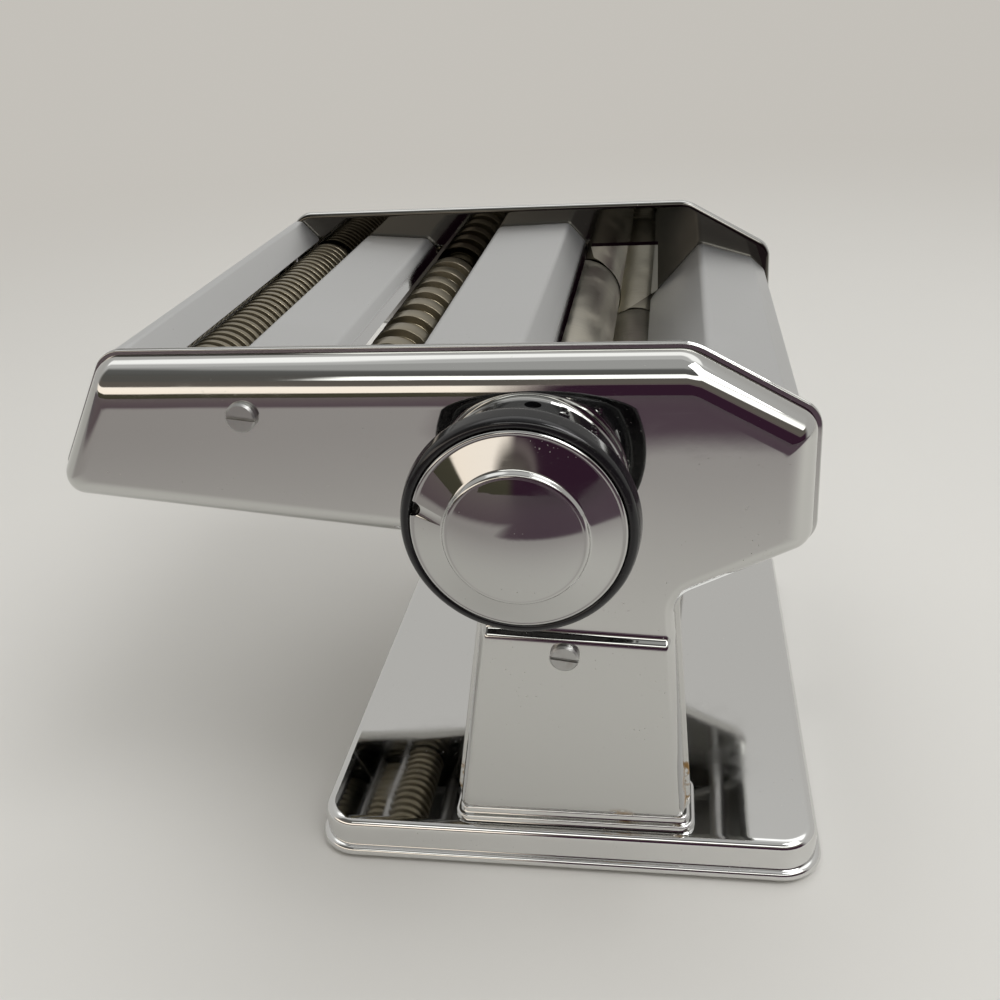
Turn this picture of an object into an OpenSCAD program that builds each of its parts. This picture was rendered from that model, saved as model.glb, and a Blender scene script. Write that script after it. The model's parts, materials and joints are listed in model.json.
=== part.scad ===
// Hand-cranked pasta machine: smooth rollers, a wide and a narrow cutter, on a pressed base.
// Origin: middle of the footprint on the table. +X: feed side, -Y: knob side, +Z: up.
// Outlines seen from the side are [x, z] points; the machine's width lies along Y.

/* [Frame] */
// Length of the smooth rollers
roller_l = 150; // [120:1:180]
// Gap between a roller's end and the frame plate
roller_end_gap = 1; // [0.6:0.1:1.6]
// Thickness of a frame plate
plate_t = 2; // [1.5:0.1:3]
// Height of the top edge above the table
top_z = 154; // [150:0.5:158]
// Tie rod radius
rod_r = 3; // [2.5:0.1:3.2]
// Radius of a tie rod's threaded end
rod_end_r = 2.2; // [1.8:0.1:2.3]

/* [Side covers] */
// Thickness of the stamped cover
cover_t = 1; // [0.7:0.1:1.3]
// Straight rim of the cover, on the frame plate
cover_rim = 1; // [0.6:0.1:1.5]
// Depth of the cover's rounded shoulder
cover_depth = 8.5; // [8:0.1:10]
// Height of the cover's foot above the table
cover_foot_z = 20; // [19.5:0.1:22]
// How far the leg's face stands proud of the upper face
leg_rise = 2; // [1:0.1:3]
// Drop from the top edge to the ledge between the two faces
ledge_drop = 70.5; // [68:0.5:71.5]
// Radius of the crank openings in the far cover
crank_hole_r = 8; // [7.5:0.1:8.6]

/* [Base] */
// Length of the base along X, over the bead
base_x = 145; // [130:1:160]
// Width of the base along Y, over the bead
base_y = 172; // [168:1:180]
// Height of the base's top
base_z = 13; // [11.5:0.5:15]
// Corner radius of the base
base_r = 12; // [9:0.5:16]
// Thickness of the base's sheet
base_t = 1.2; // [0.8:0.1:1.6]
// How far the rolled bead stands out from the wall
bead_out = 1.6; // [1:0.1:2.2]
// Height of the plinth under a leg
plinth_h = 4; // [3:0.1:5]
// Height of a rubber foot below the bead
foot_drop = 1; // [0.6:0.1:1.6]
// Radius of a rubber foot
foot_r = 6; // [4:0.5:8]
// Width of the table clamp's slot
clamp_slot_w = 18; // [12:1:26]
// Height of the table clamp's slot
clamp_slot_h = 5; // [4:0.1:5.5]

/* [Smooth rollers] */
// Radius of the smooth rollers
roller_r = 13; // [12.5:0.1:13.4]
// Gap between the smooth rollers at the thinnest setting
min_gap = 0.4; // [0.3:0.05:0.6]
// Radius of the driven shafts' journals
journal_r = 6; // [5.5:0.1:6.4]
// Radius of a crank socket
socket_r = 4; // [3:0.1:4.4]
// Depth of a crank socket
socket_l = 12; // [8:0.5:20]
// Radius of the cutters' follower journals
follow_r = 4.5; // [3.5:0.1:5]
// Thickness of the gears
gear_t = 4.5; // [3:0.1:4.8]

/* [Cutters] */
// Width of a strip from the wide cutter
wide_strip = 6.5; // [5:0.1:8]
// Radius of the wide cutter's discs
wide_r = 9.5; // [9.2:0.05:9.7]
// Distance between the wide cutter's axes
wide_cd = 17; // [16.8:0.05:17.4]
// Width of a strip from the narrow cutter
narrow_strip = 2; // [1.6:0.1:3]
// Radius of the narrow cutter's discs
narrow_r = 9; // [8.8:0.05:9.2]
// Distance between the narrow cutter's axes
narrow_cd = 16.6; // [16.4:0.05:17]
// Clearance between neighbouring discs
disc_gap = 0.1; // [0.05:0.01:0.2]
// Clearance between a disc's rim and the other roller's core
core_gap = 0.3; // [0.2:0.05:0.5]

/* [Gap setting] */
// Eccentricity of the axle's lobes
lobe_e = 1.4; // [1:0.05:1.5]
// Turn of the knob from the thinnest to the widest setting, in degrees
setting_turn = 120; // [100:1:130]
// Number of settings
settings = 7; // [5:1:9]
// Radius of the eccentric axle
axle_r = 5; // [4.6:0.1:5.2]
// Side of the axle's square end
square_w = 7; // [6:0.1:7]
// Travel of the knob when it is pulled
knob_pull = 5; // [3.5:0.1:5.5]

/* [Knob] */
// Radius of the drum behind its front rim
drum_r = 22.4; // [21:0.1:23.5]
// Radius of the chromed cap
cap_r = 23.6; // [22.5:0.1:24.5]
// Width of the drum's front rim outside the cap and the drum
rim_w = 2.8; // [2:0.1:3.5]
// Length of the drum's front rim
rim_l = 6; // [5:0.1:7]
// Distance from the knob's back to the cap's seat
seat_s = 20.8; // [20:0.1:22.5]
// Rise of the cap's cone
cone_h = 3.2; // [2.5:0.1:4]
// Rise of the cap's dome
dome_h = 2.2; // [1.5:0.1:3]
// Gap between the knob and the cover's face
knob_gap = 0.5; // [0.4:0.1:1]
// Length of the index ring
ring_l = 3.4; // [3:0.1:4]
// Width of the index ring
ring_w = 5; // [4:0.1:6]
// Radius of the index pin
pin_r = 1.4; // [1:0.1:1.8]

/* [Deck panels] */
// Thickness of the folded sheets
sheet_t = 1; // [0.7:0.05:1.2]
// Bend radius of the folded sheets
bend_r = 2; // [1.2:0.1:3]
// Thickness of the dough guides
guide_t = 2.5; // [1.5:0.1:4]

/* [Hidden] */
$fn = 64;

// Colours
chrome = [0.80, 0.80, 0.80];
nickel = [0.62, 0.60, 0.52];
steel = [0.55, 0.55, 0.56];
bronze = [0.66, 0.52, 0.32];
black = [0.06, 0.06, 0.06];

// Clearances
running = 0.05;
press = 0.02;
loose = 0.3;

// Places along Y, measured from the middle
roller_end = roller_l / 2;
plate_in = roller_end + roller_end_gap;
plate_out = plate_in + plate_t;
rim_y = plate_out + cover_rim;
face_y = rim_y + cover_depth;
leg_y = face_y + leg_rise;
cover_in = face_y - cover_t;
bush_flange = 1;
gear_y = plate_out + bush_flange + loose;
gear_end = gear_y + gear_t;
shaft_end = cover_in - loose;

// Side outline, counter-clockwise: [x, z, corner radius, shoulder width of the edge that follows]
function deck(x, drop) = [x, top_z - drop];
nose = deck(-127.5, 37);
arm_root = deck(-15.5, 50);
leg_foot_x = [-29.5, 36.2];
leg_right_x = 32;
leg_edge = 2.5;
foot_edge = 3.5;
function side_corners(foot_z) = [
    [leg_foot_x[0], foot_z, 5, foot_edge],
    [leg_foot_x[1], foot_z, 5, leg_edge],
    [leg_right_x, top_z - 64.5, 6, 6.5],
    [64, top_z - 48.5, 7, 8.5],
    [63.5, top_z - 16.5, 7, 10],
    [34.5, top_z, 12, 12],
    [-106.9, top_z, 8, 8],
    [nose[0], nose[1], 7, 7.5],
    [arm_root[0], arm_root[1], 6, leg_edge]
];
ledge_z = top_z - ledge_drop;
ledge_w = 1.8;
arc_steps = 5;
arc_points = arc_steps + 1;
shoulder_steps = 6;

// Roller axes: each pair lies on a diagonal, with its fixed, driven roller below on the feed side
up_left = [-1, 1] / sqrt(2);
down_left = [-1, -1] / sqrt(2);
knob_axis = deck(-2.5, 31);
half_turn = setting_turn / 2;
// Centre of the lobes when the knob stands at an angle from the middle of its turn
function lobe_at(a) = knob_axis + lobe_e * (sin(a) * up_left + cos(a) * down_left);
turn_steps = [-half_turn:half_turn / 6:half_turn];
adjust_axis = lobe_at(-half_turn);
roller_cd = 2 * roller_r + min_gap;
drive_axis = adjust_axis - roller_cd * up_left;
cutter_tilt = 32;
cutter_down = [cos(cutter_tilt), -sin(cutter_tilt)];
wide_up = deck(-49.5, 25);
wide_low = wide_up + wide_cd * cutter_down;
narrow_up = deck(-96.5, 19.5);
narrow_low = narrow_up + narrow_cd * cutter_down;
wide_core = wide_cd - wide_r - core_gap;
narrow_core = narrow_cd - narrow_r - core_gap;
drive_axes = [drive_axis, wide_low, narrow_low];
follow_axes = [wide_up, narrow_up];

// Bearings
bush_wall = 2;
flange_w = 1;

// Gap setting: hollow roller on two lobes
lobe_r = axle_r + lobe_e + 0.6;
lobe_l = 14;
lobe_end = roller_end - 1;
eccentric_bush_wall = 2;
hollow_r = lobe_r + eccentric_bush_wall + 2 * running;
axle_end_r = axle_r - 0.5;
neck_in_r = axle_end_r + lobe_e + 1.4;
neck_r = neck_in_r + 1.2;
neck_hole_r = neck_r + lobe_e + 0.6;
bracket_t = 1.5;
bracket_w = 13;
bracket_post_r = 3;
bracket_y = gear_end + 0.5;
bracket_posts = [deck(-21.5, 34), deck(19, 18)];

// Tie rods: the first two take the cover screws
screw_rods = [deck(-70, 13.7), deck(4, 77.4)];
plain_rods = [deck(-24, 16.5), deck(50, 39)];
rods = concat(screw_rods, plain_rods);
sleeve_r = 4.4;
screw_r = 2;
screw_head_r = 3.7;
screw_head_h = 1.8;
head_edge = 0.5;
screw_l = 4;
sleeve_gap = 0.6;
slot_w = 0.9;
slot_h = 0.9;
slot_tilt = 8;

// Base details
plinth_x = [leg_foot_x[0] - 1, leg_foot_x[1] + 1];
plinth_y = [plate_in - 16, plate_out + 3.5];
plinth_z = base_z + plinth_h;
plinth_step = 1.5;
plinth_r = 4;
flange_y = plate_in - 13;
flange_z = plinth_z + plate_t;
bolt_xs = [-13, 19];
bolt_y = plate_in - 7;
bolt_r = 2.5;
bolt_head_r = 4.5;
bolt_head_h = 3.5;
bolt_l = 13;
nut_h = 4;

// Knob places along its axis, measured outwards from the knob's back
knob_back = face_y + knob_gap;
front_s = seat_s + 2.2;
floor_s = [ring_l + 1, ring_l + 4];
washer_s = floor_s[1] + knob_pull + 4;
washer_t = 1;
washer_r = 8;
axle_screw_r = 4;
axle_screw_h = 1.6;
drum_wall = 3.6;
cap_seat_r = cap_r + press;
spring_r = 6.4;
spring_wire = 0.4;
spring_turns = 4;
ring_r = drum_r + 0.4;
index_r = ring_r - ring_w / 2;
rim_r = max(cap_r, drum_r) + rim_w;
rim_s = front_s - rim_l;
step_r = cap_r - 7.7;
dome_r = step_r - 1.3;
dome_s = front_s + cone_h + 1.3;
notch_r = 1.7;
notch_angle = 166;
notch_in = 0.6;
window_r = 1.9;
window_angle = 84;
window_s = ring_l + 2.3;
index_hole_r = pin_r + loose;

// Outline helpers
function unit(v) = v / norm(v);
function xz(c) = [c[0], c[1]];
// Round corner p between neighbours a and b
function corner(a, p, b, r, n) =
    let (
        da = unit(a - p),
        db = unit(b - p),
        h = acos(da * db) / 2,
        c = p + unit(da + db) * r / sin(h),
        s = p + da * r / tan(h) - c,
        e = p + db * r / tan(h) - c,
        a0 = atan2(s[1], s[0]),
        sweep = atan2(s[0] * e[1] - s[1] * e[0], s * e)
    )
    [for (i = [0:n]) c + r * [cos(a0 + sweep * i / n), sin(a0 + sweep * i / n)]];
// Closed outline with rounded corners
function rounded(c, n = arc_steps) =
    let (m = len(c))
    [for (i = [0:m - 1]) each corner(xz(c[(i + m - 1) % m]), xz(c[i]), xz(c[(i + 1) % m]), c[i][2], n)];
// Open path with rounded bends
function bent(p, n = arc_steps) =
    let (m = len(p))
    [p[0], for (i = [1:m - 2]) each corner(p[i - 1], p[i], p[i + 1], bend_r, n), p[m - 1]];
// Corner list whose edges have moved inwards by share k of their shoulder width plus d
function inset(c, k, d = 0) =
    let (m = len(c))
    [for (i = [0:m - 1])
        let (
            p = xz(c[i]),
            e1 = unit(p - xz(c[(i + m - 1) % m])),
            e2 = unit(xz(c[(i + 1) % m]) - p),
            s1 = k * c[(i + m - 1) % m][3] + d,
            s2 = k * c[i][3] + d,
            turn = e1[0] * e2[1] - e1[1] * e2[0],
            x = (s1 * e2 - s2 * e1) / turn,
            r = c[i][2] - sign(turn) * (s1 + s2) / 2
        )
        [p[0] + x[0], p[1] + x[1], max(r, 2), c[i][3]]];
// Sheet of thickness t along an open path
function side_of(p, i) =
    let (
        m = len(p),
        j = max(i, 1),
        k = min(i, m - 2),
        before = unit(p[j] - p[j - 1]),
        after = unit(p[k + 1] - p[k]),
        d = unit(before + after)
    )
    [-d[1], d[0]] / (d * before);
function sheet_outline(p, t) =
    let (m = len(p))
    concat(
        [for (i = [0:m - 1]) p[i] + side_of(p, i) * t / 2],
        [for (i = [m - 1:-1:0]) p[i] - side_of(p, i) * t / 2]
    );

// Solid helpers
module along_y(y0, y1) {
    translate([0, y1, 0]) rotate([90, 0, 0]) linear_extrude(y1 - y0) children();
}
module rod(p, r, y0, y1) {
    translate([p[0], y1, p[1]]) rotate([90, 0, 0]) cylinder(r = r, h = y1 - y0);
}
// Solid of revolution about an axis along Y; the profile is [radius, y]
module turned(p, profile) {
    translate([p[0], 0, p[1]]) rotate([-90, 0, 0]) rotate_extrude() polygon(profile);
}
// Closed skin through rings of points; every ring has the same count
module loft(rings) {
    n = len(rings[0]);
    m = len(rings);
    points = [for (ring = rings) each ring];
    sides = [for (k = [0:m - 2], i = [0:n - 1])
        each let (a = k * n + i, b = k * n + (i + 1) % n)
        [[a, b, b + n], [a, b + n, a + n]]];
    first = [for (i = [n - 1:-1:0]) i];
    last = [for (i = [0:n - 1]) (m - 1) * n + i];
    polyhedron(points = points, faces = concat(sides, [first, last]));
}
module both_sides() {
    children();
    mirror([0, 1, 0]) children();
}

// Base: a pressed pan with a rolled bead, plinths and a clamp slot
function base_ring(inset_d, z) =
    let (
        x = base_x / 2 - inset_d,
        y = base_y / 2 - inset_d,
        r = max(base_r - inset_d, 3),
        c = [[-x, -y, r], [x, -y, r], [x, y, r], [-x, y, r]]
    )
    [for (p = rounded(c, 7)) [p[0], p[1], z]];
bead_r = bead_out;
top_fillet = 2.6;
module base_outside() {
    loft(concat(
        [for (a = [90:-22.5:0])
            base_ring(bead_out + top_fillet * (1 - cos(a)), base_z - top_fillet * (1 - sin(a)))],
        [for (a = [90:-30:-90]) base_ring(bead_r * (1 - cos(a)), foot_drop + bead_r * (1 + sin(a)))]
    ));
}
module plinth(d, z0, z1) {
    x0 = plinth_x[0] + d;
    x1 = plinth_x[1] - d;
    y0 = plinth_y[0] + d;
    y1 = plinth_y[1] - d;
    r = plinth_r - d;
    translate([0, 0, z0]) linear_extrude(z1 - z0)
        polygon(rounded([[x0, y0, r], [x1, y0, r], [x1, y1, r], [x0, y1, r]]));
}
module base_plate() {
    inside = bead_out + base_t;
    color(chrome) difference() {
        union() {
            base_outside();
            both_sides() {
                plinth(0, base_z - base_t, base_z + plinth_h / 2);
                plinth(plinth_step, base_z, plinth_z);
            }
        }
        translate([0, 0, -1]) linear_extrude(base_z - base_t + 1)
            polygon([for (p = base_ring(inside, 0)) [p[0], p[1]]]);
        both_sides() {
            plinth(base_t + plinth_step, base_z - 2 * base_t, plinth_z - base_t);
            for (x = bolt_xs) translate([x, bolt_y, 0]) cylinder(r = bolt_r + loose / 2, h = plinth_z + 1);
        }
        translate([base_x / 2, 0, base_z / 2 + 0.3])
            cube([4 * inside, clamp_slot_w, clamp_slot_h], center = true);
    }
}
module rubber_feet() {
    px = base_x / 2 - base_r - 2;
    py = base_y / 2 - base_r - 2;
    color(black) for (x = [-px, px], y = [-py, py]) translate([x, y, 0])
        rotate_extrude() polygon([
            [0, 0], [foot_r - 0.8, 0], [foot_r, 0.8], [foot_r - 0.7, base_z - base_t], [0, base_z - base_t]
        ]);
}
module at_bolts() {
    both_sides() for (x = bolt_xs) translate([x, bolt_y, 0]) children();
}
module base_bolts() {
    color(steel) at_bolts() {
        translate([0, 0, flange_z]) cylinder(r = bolt_head_r, h = bolt_head_h, $fn = 6);
        translate([0, 0, flange_z + bolt_head_h - bolt_l]) cylinder(r = bolt_r, h = bolt_l - bolt_head_h / 2);
    }
}
module base_nuts() {
    color(steel) at_bolts() translate([0, 0, plinth_z - base_t - nut_h]) difference() {
        cylinder(r = bolt_head_r, h = nut_h, $fn = 6);
        translate([0, 0, -1]) cylinder(r = bolt_r + running, h = nut_h + 2);
    }
}

// Frame plate on the far side; the near one is its mirror image with its own holes
module plate_blank() {
    along_y(plate_in, plate_out) polygon(rounded(side_corners(plinth_z)));
    translate([leg_foot_x[0] + 4, flange_y, plinth_z])
        cube([leg_foot_x[1] - leg_foot_x[0] - 8, plate_in - flange_y + plate_t / 2, plate_t]);
}
module plate_holes() {
    y0 = plate_in - 1;
    y1 = plate_out + 1;
    for (p = drive_axes) rod(p, journal_r + running + bush_wall + press, y0, y1);
    for (p = follow_axes) rod(p, follow_r + running + bush_wall + press, y0, y1);
    for (p = rods) rod(p, rod_end_r + running, y0, y1);
    for (x = bolt_xs) translate([x, bolt_y, plinth_z - 1]) cylinder(r = bolt_r + loose / 2, h = plate_t + 2);
}
module near_frame_plate() {
    color(chrome) mirror([0, 1, 0]) difference() {
        plate_blank();
        plate_holes();
        rod(knob_axis, axle_r + running + bush_wall + press, plate_in - 1, plate_out + 1);
    }
}
module far_frame_plate() {
    color(chrome) difference() {
        plate_blank();
        plate_holes();
        rod(knob_axis, neck_hole_r, plate_in - 1, plate_out + 1);
    }
}

// Stamped cover on the far side, open towards the frame plate: one closed skin made of rings.
// Each ring follows the side outline and has two points more on either edge of the leg, at the ledge.
foot_points = 2 * arc_points;
function at_height(a, b, z) = a + (b - a) * (z - a[1]) / (b[1] - a[1]);
function in_plane(points, y) = [for (p = points) [p[0], y, p[1]]];
// Ring at share `rise` of the shoulder's depth above y0; below the ledge the shoulder is deeper
function cover_ring(c, y0, rise, d) =
    let (
        p = rounded(c),
        n = len(p),
        high = y0 + rise * (cover_depth - d),
        low = high + rise * leg_rise,
        right = [for (z = [ledge_z - ledge_w, ledge_z]) at_height(p[foot_points - 1], p[foot_points], z)],
        left = [for (z = [ledge_z, ledge_z - ledge_w]) at_height(p[n - 1], p[0], z)]
    )
    concat(
        in_plane([for (i = [0:foot_points - 1]) p[i]], low),
        in_plane([right[0]], low),
        in_plane(concat([right[1]], [for (i = [foot_points:n - 1]) p[i]], [left[0]]), high),
        in_plane([left[1]], low)
    );
function cover_rings(d) =
    let (c = side_corners(cover_foot_z))
    concat(
        [cover_ring(inset(c, 0, d), plate_out, 0, d)],
        [for (k = [0:shoulder_steps])
            let (a = 90 * k / shoulder_steps)
            cover_ring(inset(c, 1 - cos(a), d), rim_y, sin(a), d)]
    );
// Triangle pairs between neighbouring rings of n points, the first ring starting at point i0
function band(i0, n, rings) =
    [for (k = [0:rings - 2], i = [0:n - 1])
        each let (a = i0 + k * n + i, b = i0 + k * n + (i + 1) % n)
        [[a, b, b + n], [a, b + n, a + n]]];
function span(i0, n, from, to) = [for (i = [from:to]) i0 + i % n];
function backwards(v) = [for (i = [len(v) - 1:-1:0]) v[i]];
// The leg's face, the ledge and the upper face, inside the ring that starts at point i0
function cover_faces(i0, n) = [
    span(i0, n, n - 1, n + foot_points),
    [i0 + foot_points, i0 + foot_points + 1, i0 + n - 2, i0 + n - 1],
    span(i0, n, foot_points + 1, n - 2)
];
module cover_skin() {
    rings = [for (d = [0, cover_t]) each cover_rings(d)];
    n = len(rings[0]);
    count = len(rings) / 2;
    half = count * n;
    function skin(i0) = concat(band(i0, n, count), cover_faces(i0 + (count - 1) * n, n));
    polyhedron(
        points = [for (ring = rings) each ring],
        faces = concat(
            skin(0),
            [for (face = skin(half)) backwards(face)],
            [for (i = [0:n - 1]) each
                let (j = (i + 1) % n)
                [[j, i, half + i], [j, half + i, half + j]]]
        )
    );
}
module cover_shell() {
    difference() {
        cover_skin();
        for (p = screw_rods) rod(p, screw_r + running, rim_y, leg_y + 1);
    }
}
// resize() to nothing new keeps a cover and its holes as one set of triangles; true round holes would
// leave the long facets of its faces open
module near_side_cover() {
    color(chrome) resize([0, 0, 0]) difference() {
        mirror([0, 1, 0]) cover_shell();
        rod(knob_axis, axle_r + 2, -leg_y, -rim_y);
        rod(index_place(), pin_r + running, -leg_y, -rim_y);
    }
}
module far_side_cover() {
    color(chrome) resize([0, 0, 0]) difference() {
        cover_shell();
        for (p = drive_axes) rod(p, crank_hole_r, rim_y, leg_y);
    }
}
// Slotted cheese-head screws, one on the upper face and one on the leg
module cover_screw(p, y) {
    tip = y - cover_t - screw_l;
    top = y + screw_head_h;
    difference() {
        turned(p, [
            [0, tip], [screw_r, tip], [screw_r, y], [screw_head_r, y], [screw_head_r, top - head_edge],
            [screw_head_r - head_edge, top], [0, top]
        ]);
        translate([p[0], top, p[1]]) rotate([0, slot_tilt, 0])
            cube([3 * screw_head_r, 2 * slot_h, slot_w], center = true);
    }
}
module cover_screws() {
    cover_screw(screw_rods[0], face_y);
    cover_screw(screw_rods[1], leg_y);
}
module near_cover_screws() { color(chrome) mirror([0, 1, 0]) cover_screws(); }
module far_cover_screws() { color(chrome) cover_screws(); }

// Tie rods between the plates, with sleeve nuts on their ends
module tie_rods() {
    end_y = plate_out + 4;
    color(steel) for (p = rods) turned(p, [
        [0, -end_y], [rod_end_r, -end_y], [rod_end_r, -plate_in], [rod_r, -plate_in],
        [rod_r, plate_in], [rod_end_r, plate_in], [rod_end_r, end_y], [0, end_y]
    ]);
}
module sleeve_nuts() {
    module sleeve(p, y1, r_out) {
        r_in = rod_end_r + running;
        turned(p, [[r_in, plate_out], [r_out, plate_out], [r_out, y1], [r_in, y1]]);
    }
    color(steel) both_sides() {
        sleeve(screw_rods[0], cover_in - sleeve_gap, sleeve_r);
        sleeve(screw_rods[1], cover_in + leg_rise - sleeve_gap, sleeve_r);
        for (p = plain_rods) sleeve(p, plate_out + 4, sleeve_r);
    }
}

// Folded sheets across the deck
module folded(path) {
    along_y(-plate_in, plate_in) polygon(sheet_outline(bent(path), sheet_t));
}
module end_wall() {
    color(chrome) folded([deck(-107, 2), deck(-109.9, 17.7), deck(-117.5, 33)]);
}
module cutter_bridge() {
    color(chrome) folded([deck(-86.3, 17.7), deck(-80.5, 8.7), deck(-59, 10.4), deck(-54.5, 14.8)]);
}
module roller_bridge() {
    color(chrome) folded([deck(-39.5, 18.5), deck(-31.5, 7), deck(-7, 6.4), deck(0, 14.3)]);
}
module feed_panel() {
    color(chrome) folded([
        deck(22.4, 33.9), deck(39.2, 14.8), deck(56.7, 20.2), deck(61.2, 24.5), deck(61.2, 48)
    ]);
}
// Side guides of the hopper, cut round the smooth rollers
module dough_guides() {
    color(chrome) both_sides() difference() {
        along_y(plate_in - guide_t, plate_in)
            polygon([deck(0.9, 14.4), deck(24.5, 14.4), deck(24.5, 30.6), deck(7.2, 41.6)]);
        rod(drive_axis, roller_r + 0.5, 0, plate_in + 1);
        for (a = [-half_turn, 0, half_turn]) rod(lobe_at(a), roller_r + 0.5, 0, plate_in + 1);
    }
}

// Bearings: flanged bushes whose flange lies on the plate's outer face
module bush(p, r) {
    turned(p, [
        [r + running, plate_in], [r + running + bush_wall, plate_in], [r + running + bush_wall, plate_out],
        [r + running + bush_wall + flange_w, plate_out],
        [r + running + bush_wall + flange_w, plate_out + bush_flange], [r + running, plate_out + bush_flange]
    ]);
}
module roller_bushes() {
    color(bronze) {
        both_sides() bush(drive_axis, journal_r);
        mirror([0, 1, 0]) bush(knob_axis, axle_r);
    }
}
module cutter_bushes() {
    color(bronze) both_sides() {
        for (p = [wide_low, narrow_low]) bush(p, journal_r);
        for (p = follow_axes) bush(p, follow_r);
    }
}

// Scrapers: blades under the smooth rollers
scraper_gap = 0.35;
module scraper(p, angle, reach) {
    r = roller_r + scraper_gap + reach;
    translate([p[0], 0, p[1]]) rotate([0, -angle, 0]) along_y(-plate_in, plate_in)
        polygon([[r, -0.3], [r + 4.6, -2.5], [r + 6.2, -1.5], [r + 6.2, 1], [r, 0.2]]);
}
// How far the adjustable roller comes towards an angle while the knob turns
function roller_reach(angle) =
    max([for (a = turn_steps) (lobe_at(a) - adjust_axis) * [cos(angle), sin(angle)]]);
module roller_scrapers() {
    color(steel) {
        scraper(adjust_axis, 235, roller_reach(235));
        scraper(drive_axis, 250, 0);
    }
}

// Cutter rollers: every second strip of the width is a disc
function strips(strip) = floor(roller_l / strip);
function strip_y(strip, i) = (i - strips(strip) / 2) * strip;
function discs(strip, odd, r, core) =
    [for (i = [odd:2:strips(strip) - 1])
        each let (ya = strip_y(strip, i) + disc_gap, yb = strip_y(strip, i + 1) - disc_gap)
        [[core, ya], [r, ya], [r, yb], [core, yb]]];
// Socketed shaft end, from the roller's far end out and in to the crank socket's floor
socket_end = [
    [journal_r, roller_end], [journal_r, shaft_end], [socket_r, shaft_end],
    [socket_r, shaft_end - socket_l], [0, shaft_end - socket_l]
];
near_end = plate_out + bush_flange;
module drive_shaft(p) {
    turned(p, concat([[0, -near_end], [journal_r, -near_end]], socket_end));
}
module drive_cutter(p, strip, r, core) {
    in_r = journal_r + press;
    turned(p, concat(
        [[in_r, -roller_end], [core, -roller_end]],
        discs(strip, 0, r, core),
        [[core, roller_end], [in_r, roller_end]]
    ));
}
module follow_cutter(p, strip, r, core) {
    turned(p, concat(
        [[0, -near_end], [follow_r, -near_end], [follow_r, -roller_end], [core, -roller_end]],
        discs(strip, 1, r, core),
        [[core, roller_end], [follow_r, roller_end], [follow_r, gear_end], [0, gear_end]]
    ));
}
module wide_drive_shaft() { color(steel) drive_shaft(wide_low); }
module narrow_drive_shaft() { color(steel) drive_shaft(narrow_low); }
module wide_drive_cutter() { color(nickel) drive_cutter(wide_low, wide_strip, wide_r, wide_core); }
module wide_follow_cutter() { color(nickel) follow_cutter(wide_up, wide_strip, wide_r, wide_core); }
module narrow_drive_cutter() { color(nickel) drive_cutter(narrow_low, narrow_strip, narrow_r, narrow_core); }
module narrow_follow_cutter() { color(nickel) follow_cutter(narrow_up, narrow_strip, narrow_r, narrow_core); }

// Stripper combs: a bar along the roller with one finger in each groove
comb_gap = 0.4;
comb_h = 2.2;
bar_w = 1.6;
module comb(p, angle, strip, odd, r, core) {
    finger = strip - 2 * disc_gap - 0.3;
    translate([p[0], 0, p[1]]) rotate([0, -angle, 0]) {
        translate([r + comb_gap, -plate_in, -comb_h / 2]) cube([bar_w, 2 * plate_in, comb_h]);
        for (i = [1 - odd:2:strips(strip) - 1])
            translate([core + comb_gap, strip_y(strip, i) + (strip - finger) / 2, -comb_h / 2])
                cube([r - core + bar_w, finger, comb_h]);
    }
}
module wide_combs() {
    color(steel) {
        comb(wide_up, 228, wide_strip, 1, wide_r, wide_core);
        comb(wide_low, 212, wide_strip, 0, wide_r, wide_core);
    }
}
module narrow_combs() {
    color(steel) {
        comb(narrow_up, 228, narrow_strip, 1, narrow_r, narrow_core);
        comb(narrow_low, 212, narrow_strip, 0, narrow_r, narrow_core);
    }
}

// Spur gear about an axis along Y, with a tooth (shift 0) or a space (shift 0.5) towards `angle`
function gear_outline(teeth, pitch_r, addendum, dedendum, half) =
    [for (i = [0:teeth - 1], k = [0:5])
        let (
            r = [pitch_r - dedendum, pitch_r, pitch_r + addendum][k < 3 ? k : 5 - k],
            h = half[k < 3 ? k : 5 - k] * (k < 3 ? -1 : 1),
            a = 360 * i / teeth + h / r * 180 / PI
        )
        r * [cos(a), sin(a)]];
module gear(p, bore_r, teeth, pitch_r, addendum, dedendum, half, angle, shift) {
    difference() {
        translate([p[0], 0, p[1]]) along_y(gear_y, gear_end)
            rotate(angle + 360 * shift / teeth)
                polygon(gear_outline(teeth, pitch_r, addendum, dedendum, half));
        rod(p, bore_r + press, gear_y - 1, gear_end + 1);
    }
}
roller_teeth = 14;
roller_half = [1.2, 1, 0.42];
roller_addendum = 2.3;
roller_dedendum = 2.9;
cutter_teeth = 16;
cutter_half = [0.85, 0.66, 0.36];
cutter_addendum = 0.95;
cutter_dedendum = 1.2;
mesh_angle = 135;
cutter_mesh_angle = 180 - cutter_tilt;
module roller_gear(p, bore_r, angle, shift) {
    gear(p, bore_r, roller_teeth, roller_cd / 2, roller_addendum, roller_dedendum, roller_half, angle, shift);
}
module cutter_gear(p, bore_r, cd, angle, shift) {
    gear(p, bore_r, cutter_teeth, cd / 2, cutter_addendum, cutter_dedendum, cutter_half, angle, shift);
}
module drive_gear(p, cd) { color(steel) cutter_gear(p, journal_r, cd, cutter_mesh_angle, 0); }
module follow_gear(p, cd) { color(steel) cutter_gear(p, follow_r, cd, cutter_mesh_angle + 180, 0.5); }
module driven_gear() { color(steel) roller_gear(drive_axis, journal_r, mesh_angle, 0); }
module adjustable_gear() { color(steel) roller_gear(adjust_axis, neck_r, mesh_angle + 180, 0.5); }
module wide_drive_gear() { drive_gear(wide_low, wide_cd); }
module wide_follow_gear() { follow_gear(wide_up, wide_cd); }
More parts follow.
